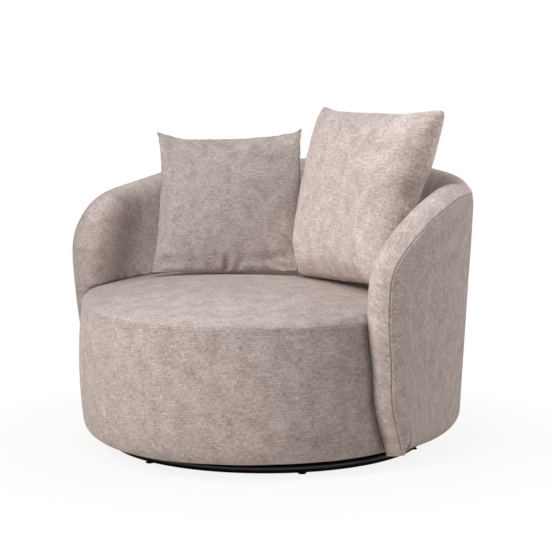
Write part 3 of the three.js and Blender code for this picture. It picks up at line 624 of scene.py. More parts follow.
def closeBelow(piece, depth):
    # the foam under the cover: the rim is drawn in, run down and closed flat
    makeActive(piece)
    bpy.ops.object.mode_set(mode="EDIT")
    bpy.ops.mesh.select_all(action="DESELECT")
    bpy.ops.mesh.select_mode(type="EDGE")
    bpy.ops.mesh.select_non_manifold(extend=False, use_boundary=True, use_wire=False,
                                     use_multi_face=False, use_non_contiguous=False, use_verts=False)
    bpy.ops.mesh.extrude_region_move()
    bpy.ops.transform.resize(value=(seatCloth["drawnIn"], seatCloth["drawnIn"], 1),
                             center_override=(0, -drum["setForward"] * mm, 0))
    bpy.ops.mesh.extrude_region_move(TRANSFORM_OT_translate={"value": (0, 0, -depth * mm)})
    bpy.ops.mesh.edge_face_add()
    bpy.ops.mesh.select_mode(type="VERT")
    bpy.ops.object.mode_set(mode="OBJECT")


deckTop = drum["top"] - drum["foamDepth"]
closeBelow(seatTop, wallHead + drum["edgeRound"] * math.sin(seamTurn) - deckTop - seatCloth["aboveDeck"])
closedUp(seatTop)


# rows run from under the drum up to the seam, and the last of them lie this many mm from it
borderCloth = {"around": 132, "pastSides": 9, "underShares": (1, 0.6, 0.25), "lowRows": 10, "wallRows": 26,
               "highRows": 4, "clear": 0.16, "besideSeam": (3, 2.25, 1.6, 1.05, 0.55, 0), "seed": 5}
borderSeam = cover["gap"] / drum["edgeRound"]


def borderRows():
    low = np.linspace(0, math.pi / 2, borderCloth["lowRows"])
    wall = np.linspace(wallFoot, wallHead, borderCloth["wallRows"])[1:]
    high = np.linspace(0, seamTurn - borderCloth["clear"], borderCloth["highRows"])[1:]
    close = seamTurn - np.array(borderCloth["besideSeam"]) / drum["edgeRound"] - borderSeam
    return ([("under", drum["wrap"] * share) for share in borderCloth["underShares"]]
            + [("low", turn) for turn in low] + [("wall", z) for z in wall]
            + [("high", turn) for turn in (*high, *close)])


borderStations = borderRows()
borderReach = math.radians(borderCloth["pastSides"])


def borderPlace(s, t):
    kind, value = borderStations[round(t * (len(borderStations) - 1))]
    angle = mixed(-math.pi - borderReach, borderReach, s)
    if kind == "under":
        return drumPoint(angle, drum["bottomRound"] + value, drum["bottom"])
    if kind == "low":
        return bottomPoint(angle, value)
    if kind == "wall":
        dip = seamDip((seamTurn + borderSeam) * drum["edgeRound"] + wallHead - value)
        return borderPoint(angle, dip, value)
    return edgePoint(angle, value, seamDip((seamTurn - value) * drum["edgeRound"]))


drumBorder = clothSheet("drumBorder", borderCloth["around"], len(borderStations) - 1, borderPlace)
facingOut(drumBorder, drumMiddle)
uneven(drumBorder, cover["unevenness"], cover["unevenSize"], borderCloth["seed"])
thicken(drumBorder)
closedUp(drumBorder, cover["weld"])
print("drum covered")


# wrap-around shell

# the inner cover's rows run from its foot to the rim's seam and the outer one's from there to its own foot,
# with rows beside the seam at these distances in mm; the dips are how each lies at the seam
shellCloth = {
    "around": 152, "besideSeam": (8, 6, 4.6, 3.4, 2.4, 1.5, 0.7, 0),
    "faceRows": 26, "rimRows": 16, "clear": 0.16,
    "outerRimRows": 5, "outerClear": 0.17, "outerFaceRows": 34, "underShares": (0.5, 1),
    "innerDip": {"depth": 1.3, "reach": 1.8, "ridge": 0.8, "ridgeAt": 5},
    "outerDip": {"depth": 0.7, "reach": 1, "ridge": 1.9, "ridgeAt": 3.6, "ridgeReach": 1.9},
    "innerSeed": 8, "outerSeed": 11, "formAround": 120,
}
seamAngle = math.acos(1 - shell["seamInset"] / shell["rimRound"])
outerSeam = seamAngle + cover["gap"] / shell["rimRound"]
seamSteps = np.array(shellCloth["besideSeam"]) / shell["rimRound"]


def innerRows():
    faces = np.linspace(0, 1, shellCloth["faceRows"])
    turns = np.linspace(-math.pi / 2, seamAngle - shellCloth["clear"], shellCloth["rimRows"])[1:]
    return ([("face", share) for share in faces]
            + [("rim", turn) for turn in (*turns, *(seamAngle - seamSteps))])


def outerRows():
    turns = np.linspace(outerSeam + shellCloth["outerClear"], math.pi / 2, shellCloth["outerRimRows"])
    faces = np.linspace(1, 0, shellCloth["outerFaceRows"])[1:]
    return ([("rim", turn) for turn in (*(outerSeam + seamSteps[::-1]), *turns)]
            + [("face", share) for share in faces]
            + [("under", share) for share in shellCloth["underShares"]])


innerStations = innerRows()
outerStations = outerRows()


def innerPlace(s, t):
    kind, value = innerStations[round(t * (len(innerStations) - 1))]
    line = gridLine(2 * s - 1)
    if kind == "face":
        return faceStation(line, 0, value, -1)
    dip = seamDip((seamAngle - value) * shell["rimRound"], **shellCloth["innerDip"])
    return rimStation(line, dip, value)


def outerPlace(s, t):
    kind, value = outerStations[round(t * (len(outerStations) - 1))]
    line = gridLine(2 * s - 1)
    if kind == "rim":
        dip = seamDip((value - outerSeam) * shell["rimRound"], **shellCloth["outerDip"])
        return rimStation(line, dip, value)
    if kind == "face":
        return faceStation(line, 0, rounded(value, line), 1)
    foot = (tipGirth - shell["rimRound"]) * (1 - line["spread"])
    inner = shellPoint(line["side"] * foot, shell["bottom"], -shell["wrap"])
    edge = faceStation(line, 0, 0, 1)
    return edge.lerp(inner, value)


around = shellCloth["around"]
innerCover = clothSheet("innerCover", around, len(innerStations) - 1, innerPlace)
outerCover = clothSheet("outerCover", around, len(outerStations) - 1, outerPlace, upright=True)


def faceAway(piece, sign, below=0.5):
    # below this height, in metres, the inner cover looks in towards the seat and the outer one looks out
    mesh = piece.data
    total = 0
    for face in mesh.polygons:
        if face.center.z < below:
            flat = Vector((face.center.x, face.center.y, 0))
            total += flat.dot(face.normal) * face.area * sign
    if total < 0:
        inEditMode(piece, (bpy.ops.mesh.flip_normals, {}))


faceAway(innerCover, -1)
faceAway(outerCover, 1)
for piece, seed in ((innerCover, "innerSeed"), (outerCover, "outerSeed")):
    uneven(piece, cover["unevenness"], cover["unevenSize"], shellCloth[seed])
    thicken(piece)
    closedUp(piece, cover["weld"])


drumRoom = {"around": 144, "foot": 20, "wallRows": 14, "edgeRows": 9, "crownRows": 14, "margin": 3.5}


def drumSpace(margin):
    # the room that the drum takes, which the shell's cloth is cut back to
    rows = [("under", 0)]
    rows += [("wall", z) for z in np.linspace(drumRoom["foot"], wallHead, drumRoom["wallRows"])]
    rows += [("edge", turn) for turn in np.linspace(0, crownFoot, drumRoom["edgeRows"])[1:]]
    rows += [("crown", share) for share in np.linspace(1, 0, drumRoom["crownRows"])[1:]]

    def place(s, t):
        kind, value = rows[round(t * (len(rows) - 1))]
        angle = 2 * math.pi * s
        if kind == "under":
            return drumPoint(angle, 0, drumRoom["foot"], 0)
        if kind == "wall":
            return borderPoint(angle, -margin, value)
        if kind == "edge":
            return edgePoint(angle, value, -margin)
        return crownPoint(angle, value, -margin)

    return solidForm("drumSpace", place, drumRoom["around"], len(rows) - 1)


def cutBack(piece, cutter):
    addModifier(piece, "BOOLEAN", operation="DIFFERENCE", object=cutter, solver="EXACT")
    applyModifiers(piece)
    makeActive(piece)
    bpy.ops.object.shade_smooth()


stitch = {"length": 5, "width": 1.3, "pitch": 7, "fromSeam": 3.6, "sunk": 0.2, "sides": 6, "rings": 5,
          "aboveRim": 1, "rimEnds": 2, "rimSteps": 700, "seatEnds": 11, "seatSteps": 500}


def stitchRow(name, spots):
    # spots are the needle holes along a seam, each with the way out of the cloth
    deselectAll()
    bpy.ops.mesh.primitive_uv_sphere_add(segments=stitch["sides"], ring_count=stitch["rings"], radius=mm / 2)
    model = bpy.context.object
    single = model.data
    rows = bmesh.new()
    for (spot, out), (following, _) in zip(spots, spots[1:]):
        run = (following - spot).normalized()
        side = out.cross(run).normalized()
        ways = (side * stitch["width"], run * stitch["length"], out * stitch["width"])
        turn = Matrix(ways).transposed().to_4x4()
        turn.translation = (spot + out * (stitch["width"] / 2 - stitch["sunk"])) * mm
        copied = bmesh.new()
        copied.from_mesh(single)
        bmesh.ops.transform(copied, matrix=turn, verts=copied.verts)
        spare = bpy.data.meshes.new("stitch")
        copied.to_mesh(spare)
        rows.from_mesh(spare)
        copied.free()
        bpy.data.meshes.remove(spare)
    bpy.data.objects.remove(model)
    made = bpy.data.objects.new(name, bpy.data.meshes.new(name))
    bpy.context.scene.collection.objects.link(made)
    rows.to_mesh(made.data)
    rows.free()
    makeActive(made)
    bpy.ops.object.shade_smooth()
    return made


def evenSpots(place, steps):
    # places along a seam at the stitches' pitch
    shares = np.linspace(0, 1, steps)
    points = [place(share) for share in shares]
    run = np.concatenate([[0], np.cumsum([(b - a).length for a, b in zip(points, points[1:])])])
    even = np.interp(np.arange(0, run[-1], stitch["pitch"]), run, shares)
    return [place(share) for share in even]


def rimStitchPlace(share):
    line = gridLine(2 * share - 1)
    turn = seamAngle - stitch["fromSeam"] / shell["rimRound"]
    return rimStation(line, -cover["unevenness"] - stitch["aboveRim"], turn)


def seatStitchPlace(share):
    ends = math.radians(stitch["seatEnds"])
    angle = mixed(math.pi + ends, 2 * math.pi - ends, share)
    return edgePoint(angle, seamTurn - stitch["fromSeam"] / drum["edgeRound"], -cover["unevenness"])


def outOfCloth(tree, spots):
    # each place brought to the cloth's surface, with the way out of the cloth there
    laid = []
    for spot in spots:
        near, normal, _, _ = tree.find_nearest(spot * mm)
        laid.append((near / mm, normal))
    return laid


rimSpots = evenSpots(rimStitchPlace, stitch["rimSteps"])[stitch["rimEnds"]:-stitch["rimEnds"]]
rimStitches = stitchRow("rimStitches", outOfCloth(surfaceOf(innerCover), rimSpots))
seatSpots = evenSpots(seatStitchPlace, stitch["seatSteps"])
seatStitches = stitchRow("seatStitches", outOfCloth(surfaceOf(drumBorder), seatSpots))
print("seams stitched")

cutter = drumSpace(drumRoom["margin"])
cutBack(innerCover, cutter)
cutBack(outerCover, cutter)
bpy.data.objects.remove(cutter)
print("shell covered")


# loose cushions

# left and right are as seen from the front; a crease is given by where it starts at the edge and where it
# fades, as (s, t) from -1 to 1 across and up, and by its depth and width in mm
smallCushion = {
    "name": "smallCushion", "body": "small_cushion", "side": 1,
    "width": 432, "height": 424, "halfDepth": 78, "fullness": 0.62, "backFullness": 0.55,
    "leftDraw": 0.1, "rightDraw": 0.03, "squeeze": 0, "topDraw": 0.13, "footDraw": 0.0,
    "lowInnerRound": 0.075, "backSwell": 30,
    "seat": (-0.343 * shell["halfWidth"], 0.0583 * shell["halfDepth"]), "lift": 5,
    "facing": 22.6, "lean": 22.4, "roll": 2.5, "flatThrough": None,
    "cornerRound": 0.075, "start": 0.97, "cap": 5, "edgeCap": 3, "grow": 0.03, "seed": 3,
    "creases": [
        ((0.06, -1), (0.1, -0.74), 15, 9),
        ((0.2, -1), (0.3, -0.8), 7, 9),
        ((-0.12, -1), (-0.2, -0.8), 6, 9),
        ((0.92, -0.8), (0.2, -0.86), 6, 12),
        ((-0.9, -0.84), (-0.2, -0.88), 4, 12),
        ((0.97, -0.86), (0.68, -0.58), 12, 10),
        ((0.9, -1), (0.6, -0.84), 9, 9),
        ((0.99, -0.72), (0.78, -0.46), 8, 9),
        ((-0.96, -0.98), (-0.72, -0.78), 6, 12),
        ((-0.56, 1), (-0.52, 0.86), 4, 12),
        ((-0.3, 1), (-0.26, 0.84), 6, 13),
        ((0.1, 1), (0.14, 0.86), 5, 12),
        ((0.42, 1), (0.44, 0.88), 4, 12),
        ((0.95, 0.97), (0.76, 0.74), 6, 12),
        ((-0.95, 0.97), (-0.78, 0.76), 5, 12),
    ],
}
largeCushion = {
    "name": "largeCushion", "body": "large_cushion", "side": -1,
    "width": 496, "height": 490, "halfDepth": 103, "fullness": 0.37, "backFullness": 0.5,
    "leftDraw": 0.055, "rightDraw": 0, "squeeze": 0.285, "topDraw": 0.06, "footDraw": 0.01,
    "lowInnerRound": 0.25, "backSwell": 9,
    "seat": (0.4874 * shell["halfWidth"], 0.1125 * shell["halfDepth"]), "lift": 10,
    "facing": -18.5, "lean": 15.9, "roll": 2.1, "flatThrough": (34, 114, 457),
    "cornerRound": 0.06, "start": 0.98, "cap": 7, "edgeCap": 5, "grow": 0.03, "seed": 9,
    "creases": [
        ((-1, -0.74), (-0.66, -0.92), 14, 10),
        ((-0.98, -0.58), (-0.8, -0.76), 8, 10),
        ((-0.3, -1), (-0.36, -0.84), 7, 10),
        ((0.1, -1), (0.06, -0.86), 6, 10),
        ((0.4, -1), (0.34, -0.84), 7, 10),
        ((-0.4, 1), (-0.38, 0.88), 5, 14),
        ((0.3, 1), (0.3, 0.88), 5, 14),
        ((-0.96, 0.97), (-0.8, 0.8), 4, 14),
        ((0.97, 0.96), (0.82, 0.8), 4, 12),
    ],
}
# The large cushion is pressed flat on a plane beside the small one. The plane is parallel to the way that the
# cushions lift off, so that they part without rubbing. The small cushion is pressed by the large one's surface.
flatSide = {"turn": 33, "liftAxis": (0, -0.34202, 0.93969)}
# what both cushions share: how the plain form swells and draws in, and how their panels are cut and sewn
cushionMake = {
    "drawPower": 4, "squeezePower": 1.2, "swellPower": 6, "swellFill": 1.8,
    "cells": 54, "evenShare": 0.45, "crowdShare": 0.55, "panelScale": 0.56, "panelApart": 300, "weld": 0.4,
    "unevenness": 1.2, "unevenSize": 90,
}


def seatHeight(x, y):
    foot = wallHead + drum["edgeRound"] * math.sin(crownFoot)
    reach = drumFrontReach if y < -drum["setForward"] else drumBackReach
    across = x / (drum["halfWidth"] - drum["edgeRound"])
    along = (y + drum["setForward"]) / (reach - drum["edgeRound"])
    return foot + drum["crown"] * (1 - across * across - along * along)


def cushionPlace(cushion):
    facing, lean, roll = (math.radians(cushion[k]) for k in ("facing", "lean", "roll"))
    forward = Vector((math.sin(facing), -math.cos(facing), 0))
    across = Vector((math.cos(facing), math.sin(facing), 0))
    up = Vector((0, 0, math.cos(lean))) - forward * math.sin(lean)
    right = across * math.cos(roll) + up * math.sin(roll)
    top = up * math.cos(roll) - across * math.sin(roll)
    x, y = cushion["seat"]
    middle = Vector((x, y, seatHeight(x, y) + cushion["lift"])) + top * cushion["height"] / 2
    front = right.cross(top)
    place = Matrix((right, top, front)).transposed().to_4x4()
    place.translation = middle * mm
    return place


def roundedCorner(s, t, cushion):
    # the square's corners are drawn in to quarter circles
    corner = cushion["lowInnerRound"] if t < 0 and s * cushion["side"] > 0 else cushion["cornerRound"]
    across, up = abs(s) - (1 - corner), abs(t) - (1 - corner)
    if across <= 0 or up <= 0:
        return s, t
    pull = max(across, up) / math.hypot(across, up)
    return (math.copysign(1 - corner + across * pull, s), math.copysign(1 - corner + up * pull, t))


def cushionForm(cushion, s, t, side, swell):
    a, b = cushion["width"] / 2, cushion["height"] / 2
    power = cushionMake["drawPower"]
    fullness = cushion["fullness"] if side > 0 else cushion["backFullness"]
    thick = max((1 - s * s) * (1 - t * t), 0) ** fullness
    s, t = roundedCorner(s, t, cushion)
    draw = cushion["footDraw"] if t < 0 else cushion["topDraw"]
    sideDraw = cushion["leftDraw"] if s < 0 else cushion["rightDraw"]
    squeeze = cushion["squeeze"] * min(1 - t, 1) ** cushionMake["squeezePower"] if s > 0 else 0
    past = 0
    if side < 0 < s:
        # the back half swells out past the seam on the right
        filled = min(thick * cushionMake["swellFill"], 1)
        past = cushion["backSwell"] * s**cushionMake["swellPower"] * (1 - t**power) * filled
    return Vector((
        a * s * (1 - sideDraw * (1 - t**power) - squeeze) + past,
        b * t * (1 - draw * (1 - s**power)),
        side * cushion["halfDepth"] * swell * thick))


def eased(share):
    # grid lines crowd a little towards the edges, where the cushion turns over quickly
    turn = 2 * share - 1
    return cushionMake["evenShare"] * turn + cushionMake["crowdShare"] * math.sin(turn * math.pi / 2)


def cushionPanel(cushion, side):
    def place(s, t):
        return cushionForm(cushion, eased(s), eased(t), side, cushion["start"])

    def measure(s, t):
        scale = cushionMake["panelScale"]
        return (eased(s) * cushion["width"] * scale + side * cushionMake["panelApart"],
                eased(t) * cushion["height"] * scale)

    name = cushion["name"] + ("Front" if side > 0 else "Back")
    return clothSheet(name, cushionMake["cells"], cushionMake["cells"], place, measure)


def markSeam(piece, flat=0.01):
    for edge in piece.data.edges:
        edge.use_seam = all(abs(piece.data.vertices[i].co.z) < flat * mm for i in edge.vertices)


def seamCorners(piece):
    return {i for edge in piece.data.edges if edge.use_seam for i in edge.vertices}


def sewSeam(piece, width=2.2, depth=1.2):
    # a groove where the two panels are sewn together
    mesh = piece.data
    for part in (mesh.vertices, mesh.polygons):
        for item in part:
            item.select = False
    for edge in mesh.edges:
        edge.select = edge.use_seam
    bpy.context.view_layer.objects.active = piece
    bpy.ops.object.mode_set(mode="EDIT")
    bpy.ops.mesh.select_mode(type="EDGE")
    bpy.ops.mesh.bevel(offset=width * mm, segments=2)
    bpy.ops.mesh.select_mode(type="FACE")
    bpy.ops.object.mode_set(mode="OBJECT")
    beside = {i for face in mesh.polygons if not face.select for i in face.vertices}
    middle = [v for v in mesh.vertices if v.index not in beside]
    inwards = [v.normal * -depth * mm for v in middle]
    for vertex, move in zip(middle, inwards):
        vertex.co += move


def pucker(piece, cushion, depth=1.5, size=15, reach=17, least=0.02):
    # short rucks that the sewing leaves beside the seam
    seam = [piece.data.vertices[i].co.copy() for i in sorted(seamCorners(piece))]
    tree = KDTree(len(seam))
    for i, spot in enumerate(seam):
        tree.insert(spot, i)
    tree.balance()
    normals = [v.normal.copy() for v in piece.data.vertices]
    for vertex, normal in zip(piece.data.vertices, normals):
        near = math.exp(-((tree.find(vertex.co)[2] / (reach * mm)) ** 2))
        if near > least:
            ruck = noise.noise(vertex.co / (size * mm) + Vector((cushion["seed"], 0, 0)))
            vertex.co += normal * ruck * depth * mm * near


filling = {"quality": 6, "mass": 0.3, "tension": 18, "shear": 9, "bending": 0.4, "pressure": 4, "frames": 20,
           "heldFrom": 0.97, "capGrows": 2}


def inflate(piece, cushion):
    # The filling presses the two sewn panels apart. The corners are held, so the edges draw in and ruck. The
    # cloth's way from the modelled form is capped, and at the seam more tightly.
    rest = [v.co.copy() for v in piece.data.vertices]
    held = piece.vertex_groups.new(name="held")
    reach = Vector((cushion["width"] / 2, cushion["height"] / 2)) * mm
    for vertex in piece.data.vertices:
        s, t = abs(vertex.co.x) / reach.x, abs(vertex.co.y) / reach.y
        if s > filling["heldFrom"] and t > filling["heldFrom"]:
            held.add([vertex.index], 1, "REPLACE")
    cloth = addModifier(piece, "CLOTH")
    settings = cloth.settings
    settings.quality = filling["quality"]
    settings.mass = filling["mass"]
    settings.tension_stiffness = settings.compression_stiffness = filling["tension"]
    settings.shear_stiffness = filling["shear"]
    settings.bending_stiffness = filling["bending"]
    settings.use_pressure = True
    settings.uniform_pressure_force = filling["pressure"]
    settings.shrink_min = -cushion["grow"]
    settings.vertex_group_mass = "held"
    settings.effector_weights.gravity = 0
    cloth.collision_settings.use_collision = False
    cloth.point_cache.frame_start, cloth.point_cache.frame_end = 1, filling["frames"]
    scene = bpy.context.scene
    for step in range(1, filling["frames"] + 1):
        scene.frame_set(step)
        bpy.context.view_layer.update()
    applyModifiers(piece)
    scene.frame_set(1)
    for vertex, start in zip(piece.data.vertices, rest):
        move = vertex.co - start
        full = min(abs(start.z) / (cushion["halfDepth"] * mm) * filling["capGrows"], 1)
        cap = mixed(cushion["edgeCap"], cushion["cap"], full) * mm
        if move.length > cap:
            vertex.co = start + move * (cap / move.length)


# how a tuck runs: from before its start to past its end, how wide it reaches, where it fades, and the fold
# that stands beside its valley, as shares of its own length or width; where the cushion is thin, in mm, it fades
tuck = {"before": -0.4, "past": 1.25, "aside": 3.5, "fades": (0.1, 1.2), "fold": 0.38, "foldAt": 1.7,
        "foldTight": 2, "thin": 20}


def crease(piece, cushion):
    # tucks where the cloth is caught at the seam, each a valley with a fold standing beside it
    half = Vector((cushion["width"] / 2, cushion["height"] / 2))
    for start, end, depth, width in cushion["creases"]:
        a = Vector((start[0] * half.x, start[1] * half.y)) * mm
        b = Vector((end[0] * half.x, end[1] * half.y)) * mm
        run = b - a
        for vertex in piece.data.vertices:
            if vertex.co.z < 0:
                continue
            flat = Vector((vertex.co.x, vertex.co.y))
            along = (flat - a).dot(run) / run.length_squared
            aside = (flat - a - run * along).length / (width * mm)
            if along > tuck["past"] or along < tuck["before"] or aside > tuck["aside"]:
                continue
            fade = 1 - smoothstep(along, *tuck["fades"])
            fold = tuck["fold"] * math.exp(-((aside - tuck["foldAt"]) ** 2) * tuck["foldTight"])
            valley = math.exp(-aside * aside) - fold
            thin = smoothstep(vertex.co.z, 0, tuck["thin"] * mm)
            vertex.co.z -= depth * mm * fade * valley * thin


def keepClear(piece, cushion, neighbours, margin=1.2, reach=120):
    # presses the cushion back where it meets the seat, the shell and what else is beside it
    turn = math.radians(flatSide["turn"])
    lift = Vector(flatSide["liftAxis"])
    away = Vector((math.cos(turn), 0, 0)) + Vector((1, 0, 0)).cross(lift) * -math.sin(turn)
    for vertex in piece.data.vertices:
        spot = vertex.co.copy()
        for tree in neighbours:
            near, normal, _, _ = tree.find_nearest(spot, reach * mm)
            if near is None:
                continue
            height = (spot - near).dot(normal)
            if height < margin * mm:
                spot = near + normal * margin * mm
        if cushion["flatThrough"]:
            short = Vector(cushion["flatThrough"]).dot(away) * mm + margin * mm - spot.dot(away)
            if short > 0:
                spot += away * short
        vertex.co = spot


def shellForm():
    # the whole round of the shell's surface, which the cushions rest against
    inner, outer = len(innerStations), len(outerStations)

    def place(s, t):
        index = round(t * (inner + outer - 1))
        if index < inner:
            return innerPlace(s, index / (inner - 1))
        return outerPlace(s, (index - inner) / (outer - 1))

    return solidForm("shellForm", place, shellCloth["formAround"], inner + outer - 1)


shellGuide = shellForm()
faceAway(shellGuide, 1)
seatGuide = drumSpace(0)
guides = [surfaceOf(seatGuide), surfaceOf(shellGuide)]
for guide in (shellGuide, seatGuide):
    bpy.data.objects.remove(guide)


def makeCushion(cushion, neighbours):
    front, back = cushionPanel(cushion, 1), cushionPanel(cushion, -1)
    deselectAll()
    front.select_set(True)
    back.select_set(True)
    bpy.context.view_layer.objects.active = front
    bpy.ops.object.join()
    piece = bpy.context.object
    piece.name = piece.data.name = cushion["name"]
    closedUp(piece, cushionMake["weld"])
    markSeam(piece)
    inflate(piece, cushion)
    addModifier(piece, "SUBSURF", levels=1, render_levels=1)
    applyModifiers(piece)
    crease(piece, cushion)
    uneven(piece, cushionMake["unevenness"], cushionMake["unevenSize"], cushion["seed"])
    pucker(piece, cushion)
    sewSeam(piece)
    piece.data.transform(cushionPlace(cushion))
    keepClear(piece, cushion, neighbours)
    makeActive(piece)
    bpy.ops.object.shade_smooth()
    return piece


large = makeCushion(largeCushion, guides)
small = makeCushion(smallCushion, guides + [surfaceOf(large)])
print("cushions filled")


# ring base

ring = {"radius": 420, "tube": 12.5, "height": 15.5, "around": 160, "sides": 24}
deselectAll()
bpy.ops.mesh.primitive_torus_add(major_radius=ring["radius"] * mm, minor_radius=ring["tube"] * mm,
                                 major_segments=ring["around"], minor_segments=ring["sides"],
                                 location=(0, 0, ring["height"] * mm))
baseRing = bpy.context.object
baseRing.name = baseRing.data.name = "baseRing"
applyPlace(baseRing)
bpy.ops.object.shade_smooth()
dress(baseRing, powderCoat, "black_paint", "base", "base_ring")

# each finish with how the names of its solids begin or end; every other solid is zinc-plated
finishes = [
    (powderCoat, ("cross_bar",)),
    (glidePlastic, ("glide", "zip")),
    (webbingBand, ("seat_web",)),
    (dustCloth, ("dust_cover", "insert")),
    (cutFoam, ("seat_foam", "drum_border_foam", "shell_padding")),
    (birchPly, ("seat_deck", "drum_wall", "seat_frame_ring", "shell_panel", "mounting_block")),
]


def finishOf(name):
    for finish, words in finishes:
        if name.startswith(words) or name.endswith(words):
            return finish
    return zincSteel


for name, node in nodes.items():
    node.data.materials.clear()
    node.data.materials.append(finishOf(name))

# Painted light and shade: tones that the cloth's colour is multiplied by, 1 being the plain cloth. Pairs are
# where a change starts and ends, in mm, in degrees round from the back, or in shares of half a cushion's width
# or height.
shellTone = {
    "outside": (-30, 25), "arm": (62, 88), "behindSeat": 0.92, "insideArm": 1.3,
    "rimLow": 1.2, "rimHigh": 1.46, "rimHeight": (240, 480), "leftRim": 0.75,
    "foldLight": 0.2, "foldAt": 4.2, "foldReach": 2.2, "seamDark": 0.25, "seamReach": 2,
    "innerSeamDark": 0.34, "innerSeamReach": 3.2, "seamSteps": 900,
}
seatTone = {"plain": 1.17, "leftDarker": 0.18, "left": (60, 400)}
borderTone = {"plain": 1.07, "rightDarker": 0.2, "right": (240, 430), "footDarker": 0.08, "foot": (60, 150)}
smallTone = {"plain": 0.95, "rightLighter": 0.14, "right": (0.5, 0.9), "behindSeam": 0.4,
             "edge": (0.8, 0.9), "back": (-6, -1)}
largeTone = {"plain": 1.3, "rightLighter": 0.22, "right": (0.25, 0.62), "leftDarker": 0.2,
             "left": (-0.86, -0.74), "footLighter": 0.14, "foot": (-0.7, 0)}
# how far in mm the painted shade of a piece beside reaches, and the tone painted where they touch
seatByCushion, seatByShell = (14, 0.7), (16, 0.6)
borderByShell, shellByBorder = (26, 0.45), (24, 0.35)
shellByCushion, largeBySmall = (130, 0.4), (25, 0.6)


def armPaintedShading(spot):
    # painted light inside the arms and on the right arm's rim, lighter higher up; painted shade behind the seat
    # and on the left rim
    power = shell["power"]
    across, along = abs(spot.x) / shell["halfWidth"], abs(spot.y + shell["setForward"]) / shell["halfDepth"]
    out = (across ** power + along ** power) ** (1 / power)
    out = (out - 1) * shell["halfWidth"] - shell["sideFlare"] * spot.z / shell["height"]
    outside = smoothstep(out, *shellTone["outside"])
    towardsArm = smoothstep(abs(math.degrees(math.atan2(spot.x, spot.y))), *shellTone["arm"])
    inner = mixed(shellTone["behindSeat"], shellTone["insideArm"], towardsArm)
    rim = shellTone["leftRim"]
    if spot.x > 0:
        rim = mixed(shellTone["rimLow"], shellTone["rimHigh"], smoothstep(spot.z, *shellTone["rimHeight"]))
    return mixed(inner, rim, outside)


def rimSeamTree(steps):
    tree = KDTree(steps + 1)
    for i in range(steps + 1):
        tree.insert(outerPlace(i / steps, 0) * mm, i)
    tree.balance()
    return tree


rimSeam = rimSeamTree(shellTone["seamSteps"])


def besideSeam(spot, away, reach):
    distance = rimSeam.find(spot * mm)[2] / mm
    return math.exp(-(((distance - away) / reach) ** 2))


def outerPaintedShading(spot):
    # the outer cover is folded under along the seam; a painted highlight runs along the fold and painted shade
    # lies in the seam
    light = shellTone["foldLight"] * besideSeam(spot, shellTone["foldAt"], shellTone["foldReach"])
    return 1 + light - shellTone["seamDark"] * besideSeam(spot, 0, shellTone["seamReach"])


def innerPaintedShading(spot):
    # painted light and shade of the arms, with painted shade along the rim's seam
    return armPaintedShading(spot) * (1 - shellTone["innerSeamDark"] * besideSeam(spot, 0, shellTone["innerSeamReach"]))


def seatPaintedShading(spot):
    # painted light over the seat top, with painted shade towards the left
    return seatTone["plain"] - seatTone["leftDarker"] * smoothstep(-spot.x, *seatTone["left"])


def borderPaintedShading(spot):
    # painted light over the drum's border, with painted shade towards the right and towards its foot
    right = borderTone["rightDarker"] * smoothstep(spot.x, *borderTone["right"])
    foot = borderTone["footDarker"] * (1 - smoothstep(spot.z, *borderTone["foot"]))
    return borderTone["plain"] - right - foot


toSmall, toLarge = cushionPlace(smallCushion).inverted(), cushionPlace(largeCushion).inverted()


def smallPaintedShading(spot):
    # painted shadow of the large cushion on the back panel's strip past the right seam; painted light towards
    # the right
    local = toSmall @ (spot * mm) / mm
    across = local.x / smallCushion["width"] * 2
    shaded = smoothstep(across, *smallTone["edge"]) * (1 - smoothstep(local.z, *smallTone["back"]))
    plain = smallTone["plain"] + smallTone["rightLighter"] * smoothstep(across, *smallTone["right"])
    return mixed(plain, smallTone["behindSeam"], shaded)


def largePaintedShading(spot):
    # painted light over the large cushion, more to the right and at the foot, and painted shade along its left
    # edge
    local = toLarge @ (spot * mm) / mm
    across, up = local.x / largeCushion["width"] * 2, local.y / largeCushion["height"] * 2
    right = largeTone["rightLighter"] * smoothstep(across, *largeTone["right"])
    left = largeTone["leftDarker"] * (1 - smoothstep(across, *largeTone["left"]))
    foot = largeTone["footLighter"] * (1 - smoothstep(up, *largeTone["foot"]))
    return largeTone["plain"] + right - left + foot


borderSurface, innerSurface = surfaceOf(drumBorder), surfaceOf(innerCover)
smallSurface, largeSurface = surfaceOf(small), surfaceOf(large)
layPaintedShading(seatTop, seatPaintedShading, (smallSurface, *seatByCushion), (largeSurface, *seatByCushion),
        (innerSurface, *seatByShell))
layPaintedShading(drumBorder, borderPaintedShading, (innerSurface, *borderByShell))
layPaintedShading(innerCover, innerPaintedShading, (borderSurface, *shellByBorder),
        (smallSurface, *shellByCushion), (largeSurface, *shellByCushion))
layPaintedShading(outerCover, outerPaintedShading)
layPaintedShading(small, smallPaintedShading)
layPaintedShading(large, largePaintedShading, (smallSurface, *largeBySmall))
dress(seatTop, upholstery, "upholstery", "chair", "seat_top_cover", "seat_foam")
dress(rimStitches, sewingThread, "upholstery", "chair")
dress(seatStitches, sewingThread, "upholstery", "chair")
dress(drumBorder, upholstery, "upholstery", "chair", "drum_border_cover")
dress(innerCover, upholstery, "upholstery", "chair", "shell_inner_cover", "shell_padding")
dress(outerCover, upholstery, "upholstery", "chair", "shell_outer_cover")
for piece, cushion in ((small, smallCushion), (large, largeCushion)):
    body = cushion["body"]
    dress(piece, upholstery, "upholstery", body, body + "_cover", body + "_insert", body + "_zip")
print("pieces dressed")


# floor, light and camera

# the camera sees a plain white floor, a little darker under the chair, and the light meets a matt one
floorLook = {"size": 400, "viewport": "#f4f4f4", "colour": "#efe8e3",
             "underChair": 0.88, "fades": (0.5, 0.95)}


